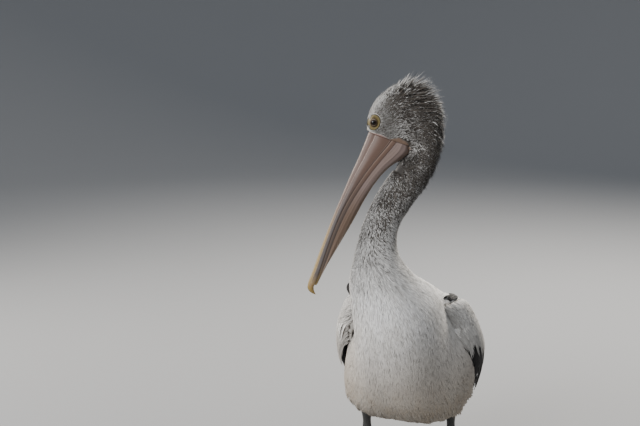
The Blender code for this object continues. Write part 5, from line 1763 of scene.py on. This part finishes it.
def clawTube(root, direction, across, long, half, high):
    # A tapering horn past the toe's end, its tip bent down to the floor
    share = np.linspace(0, 1, 16)
    swing = np.linspace(0, 2 * np.pi, 16, endpoint=False)
    taper = 1 - 0.85 * share**1.3
    centre = root + direction * (long + footSize["gap"] + footSize["claw"] * share)[:, None]
    rings = centre[:, None] + across * (np.cos(swing) * (half * 0.55 * taper)[:, None])[..., None]
    low = 0.0006 + high * 0.28 * (1 - share**2)
    rings[..., 2] = low[:, None] + (np.sin(swing) + 1) * (high * 0.26 * taper)[:, None]
    return tube(rings)


def webSlab(side, root):
    # One sheet over the four toes, its edge drawn back and its middle sagging between each pair
    order = ("outer", "middle", "inner", "hind")
    ends = np.array([toeDirection(side, toes[name][0])[0] * toes[name][1] for name in order])
    cross, share = np.meshgrid(np.linspace(0, 3, 97), np.linspace(0.04, 0.95, 40))
    first = np.clip(cross.astype(int), 0, 2)
    part = cross - first
    edge = ends[first] * (1 - part)[..., None] + ends[first + 1] * part[..., None]
    drawn = 1 - footSize["webSag"] * 4 * part * (1 - part)
    points = root + (share * drawn)[..., None] * edge
    fold = np.sin(part * np.pi) * (0.3 + 0.7 * np.abs(np.sin(part * 21 + share * 4)))
    low, high = points.copy(), points.copy()
    low[..., 2] = 0.0004
    high[..., 2] = footSize["webThick"] - footSize["webFold"] * fold
    flat, quads = slabFaces(high, low)
    return flat, quads, np.zeros((0, 3), int)


def makeFoot(side, paint, clawMaterial):
    # The ankle's end, the web and the toes in one piece, the claws beyond them
    ankle = np.array(legs[side][2]) * (1, 1, 0)
    root = ankle - np.array([0.0, footSize["ahead"], 0.0])
    z = np.linspace(footSize["high"], 0.0, 24)
    y = -footSize["ahead"] * (1 - z / footSize["high"])
    centres = ankle + np.stack([0 * z, y, z], axis=-1)
    across, along = (np.interp(z, footSize["at"], footSize[key]) for key in ("across", "along"))
    turn = np.linspace(0, 2 * np.pi, 40, endpoint=False)
    parts = [tube(limbSurface(centres, across, along, turn)), webSlab(side, root)]
    for angle, *sizes in toes.values():
        parts.append(toeTube(root, *toeDirection(side, angle), *sizes))
    points, quads, triangles = joined(parts)
    foot = meshPiece("foot_skin_" + side, points, quads, paint, triangles)
    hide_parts("foot_" + side)
    for name, (angle, *sizes) in toes.items():
        points, quads, triangles = clawTube(root, *toeDirection(side, angle), *sizes)
        label = name + "_" + side
        claw = meshPiece("nail_" + label, points, quads, clawMaterial, triangles)
        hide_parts("claw_" + label)


# Studio


# The floor's flat radius, the radius of its curve up and its rim's height in metres, its grey
sweep = {"flat": 5.5, "curve": 3.0, "high": 5.0, "tone": (0.188, 0.190, 0.194), "sides": 64}
air = {"colour": (0.80, 0.86, 0.94, 1.0), "strength": 0.85}
# Each light: place, what it faces, size in metres, power in watts, colour
softboxes = {
    "sun": ((0.5, 2.9, 3.2), (0, -0.1, 0.7), 0.9, 420.0, (1.0, 0.95, 0.87)),
    "rim": ((-3.0, 0.2, 1.9), (0, -0.1, 0.6), 1.2, 120.0, (1.0, 0.95, 0.87)),
    "fill": ((-1.0, -3.5, 2.2), (0, -0.1, 0.6), 2.4, 175.0, (0.97, 0.98, 1.0)),
}


def makeStudio():
    # A round grey floor whose rim curves up all round, so that no horizon shows
    turn = np.linspace(0, np.pi / 2, 14)
    bend = sweep["flat"] + sweep["curve"] * np.sin(turn[1:])
    reach = np.concatenate([[0.0, 1.0, 3.0, sweep["flat"]], bend])
    rise = np.concatenate([np.zeros(4), sweep["curve"] * (1 - np.cos(turn[1:]))])
    reach = np.append(reach, reach[-1] + 0.2)
    rise = np.append(rise, sweep["high"])
    sides = sweep["sides"]
    swing = np.linspace(0, 2 * np.pi, sides, endpoint=False)
    rings = np.stack([np.outer(reach[1:], np.cos(swing)), np.outer(reach[1:], np.sin(swing)),
                      np.outer(rise[1:], np.ones(sides))], axis=-1)
    points = np.concatenate([rings.reshape(-1, 3), np.zeros((1, 3))])
    centre = len(points) - 1
    faces = [tuple(quad[::-1]) for quad in gridQuads(len(rings), sides, closed=True).tolist()]
    faces += [(k, (k + 1) % sides, centre) for k in range(sides)]
    mesh = bpy.data.meshes.new("studio_floor")
    mesh.from_pydata(points.tolist(), [], faces)
    mesh.shade_smooth()
    floor = bpy.data.objects.new("studio_floor", mesh)
    bpy.context.scene.collection.objects.link(floor)
    paint = Paint("studio_floor", 0.85)
    warmer = tuple(0.985 * v for v in sweep["tone"])
    paint.feed("Base Color", paint.mix(paint.noise(1.5), sweep["tone"], warmer))
    mesh.materials.append(paint.material)
    world = bpy.data.worlds.new("studio_air")
    world.use_nodes = True
    background = world.node_tree.nodes["Background"]
    background.inputs["Color"].default_value = air["colour"]
    background.inputs["Strength"].default_value = air["strength"]
    bpy.context.scene.world = world


def addSoftbox(name, place, target, size, power, colour):
    light = bpy.data.lights.new(name, "AREA")
    light.shape = "DISK"
    light.size = size
    light.energy = power
    light.color = colour
    lamp = bpy.data.objects.new(name, light)
    bpy.context.scene.collection.objects.link(lamp)
    lamp.location = place
    aim(lamp, target)


def aim(item, target):
    # Turns an object's -Z axis towards a point
    away = np.array(item.location) - np.array(target)
    tilt = math.atan2(math.hypot(away[0], away[1]), away[2])
    item.rotation_euler = (tilt, 0.0, math.atan2(away[0], -away[1]))


# The camera's place in metres, its tilt down and turn in degrees, its lens and sensor in mm
view = {"place": (1.101, -3.026, 1.33), "down": 10.3, "turn": 23.93, "lens": 70.0, "sensor": 36.0}


def makeCamera():
    # The photograph's view: a little to the bird's left, turned so that it stands left of the middle
    camera = bpy.data.cameras.new("photo_view")
    camera.lens = view["lens"]
    camera.sensor_width = view["sensor"]
    item = bpy.data.objects.new("photo_view", camera)
    bpy.context.scene.collection.objects.link(item)
    item.location = np.array(view["place"]) + bodyShift
    item.rotation_euler = (math.radians(90 - view["down"]), 0.0, math.radians(view["turn"]))
    bpy.context.scene.camera = item


makeCamera()
makeStudio()
for name, setting in softboxes.items():
    addSoftbox(name, *setting)
print("studio ready")

makeSkin()
print("skin made")
makeCoat()
makeCrest()
for each in ("left", "right"):
    makeThighCoat(each)
wingSkin = skinPaint()
vanes = vanePaint("flight_feathers")
for each in ("left", "right"):
    makeWingPad(each)
    makeWingCoat(each)
    makeShelfCoat(each)
    makeWingFeathers(each)
makeTail()
print("plumage made")
makeUpperBill()
makeLowerBill()
makeEyes()
print("head finished")
legSkin, clawHorn = legPaint(), clawPaint()
for each in ("left", "right"):
    makeLeg(each, legSkin)
    makeFoot(each, legSkin, clawHorn)
print("legs made")
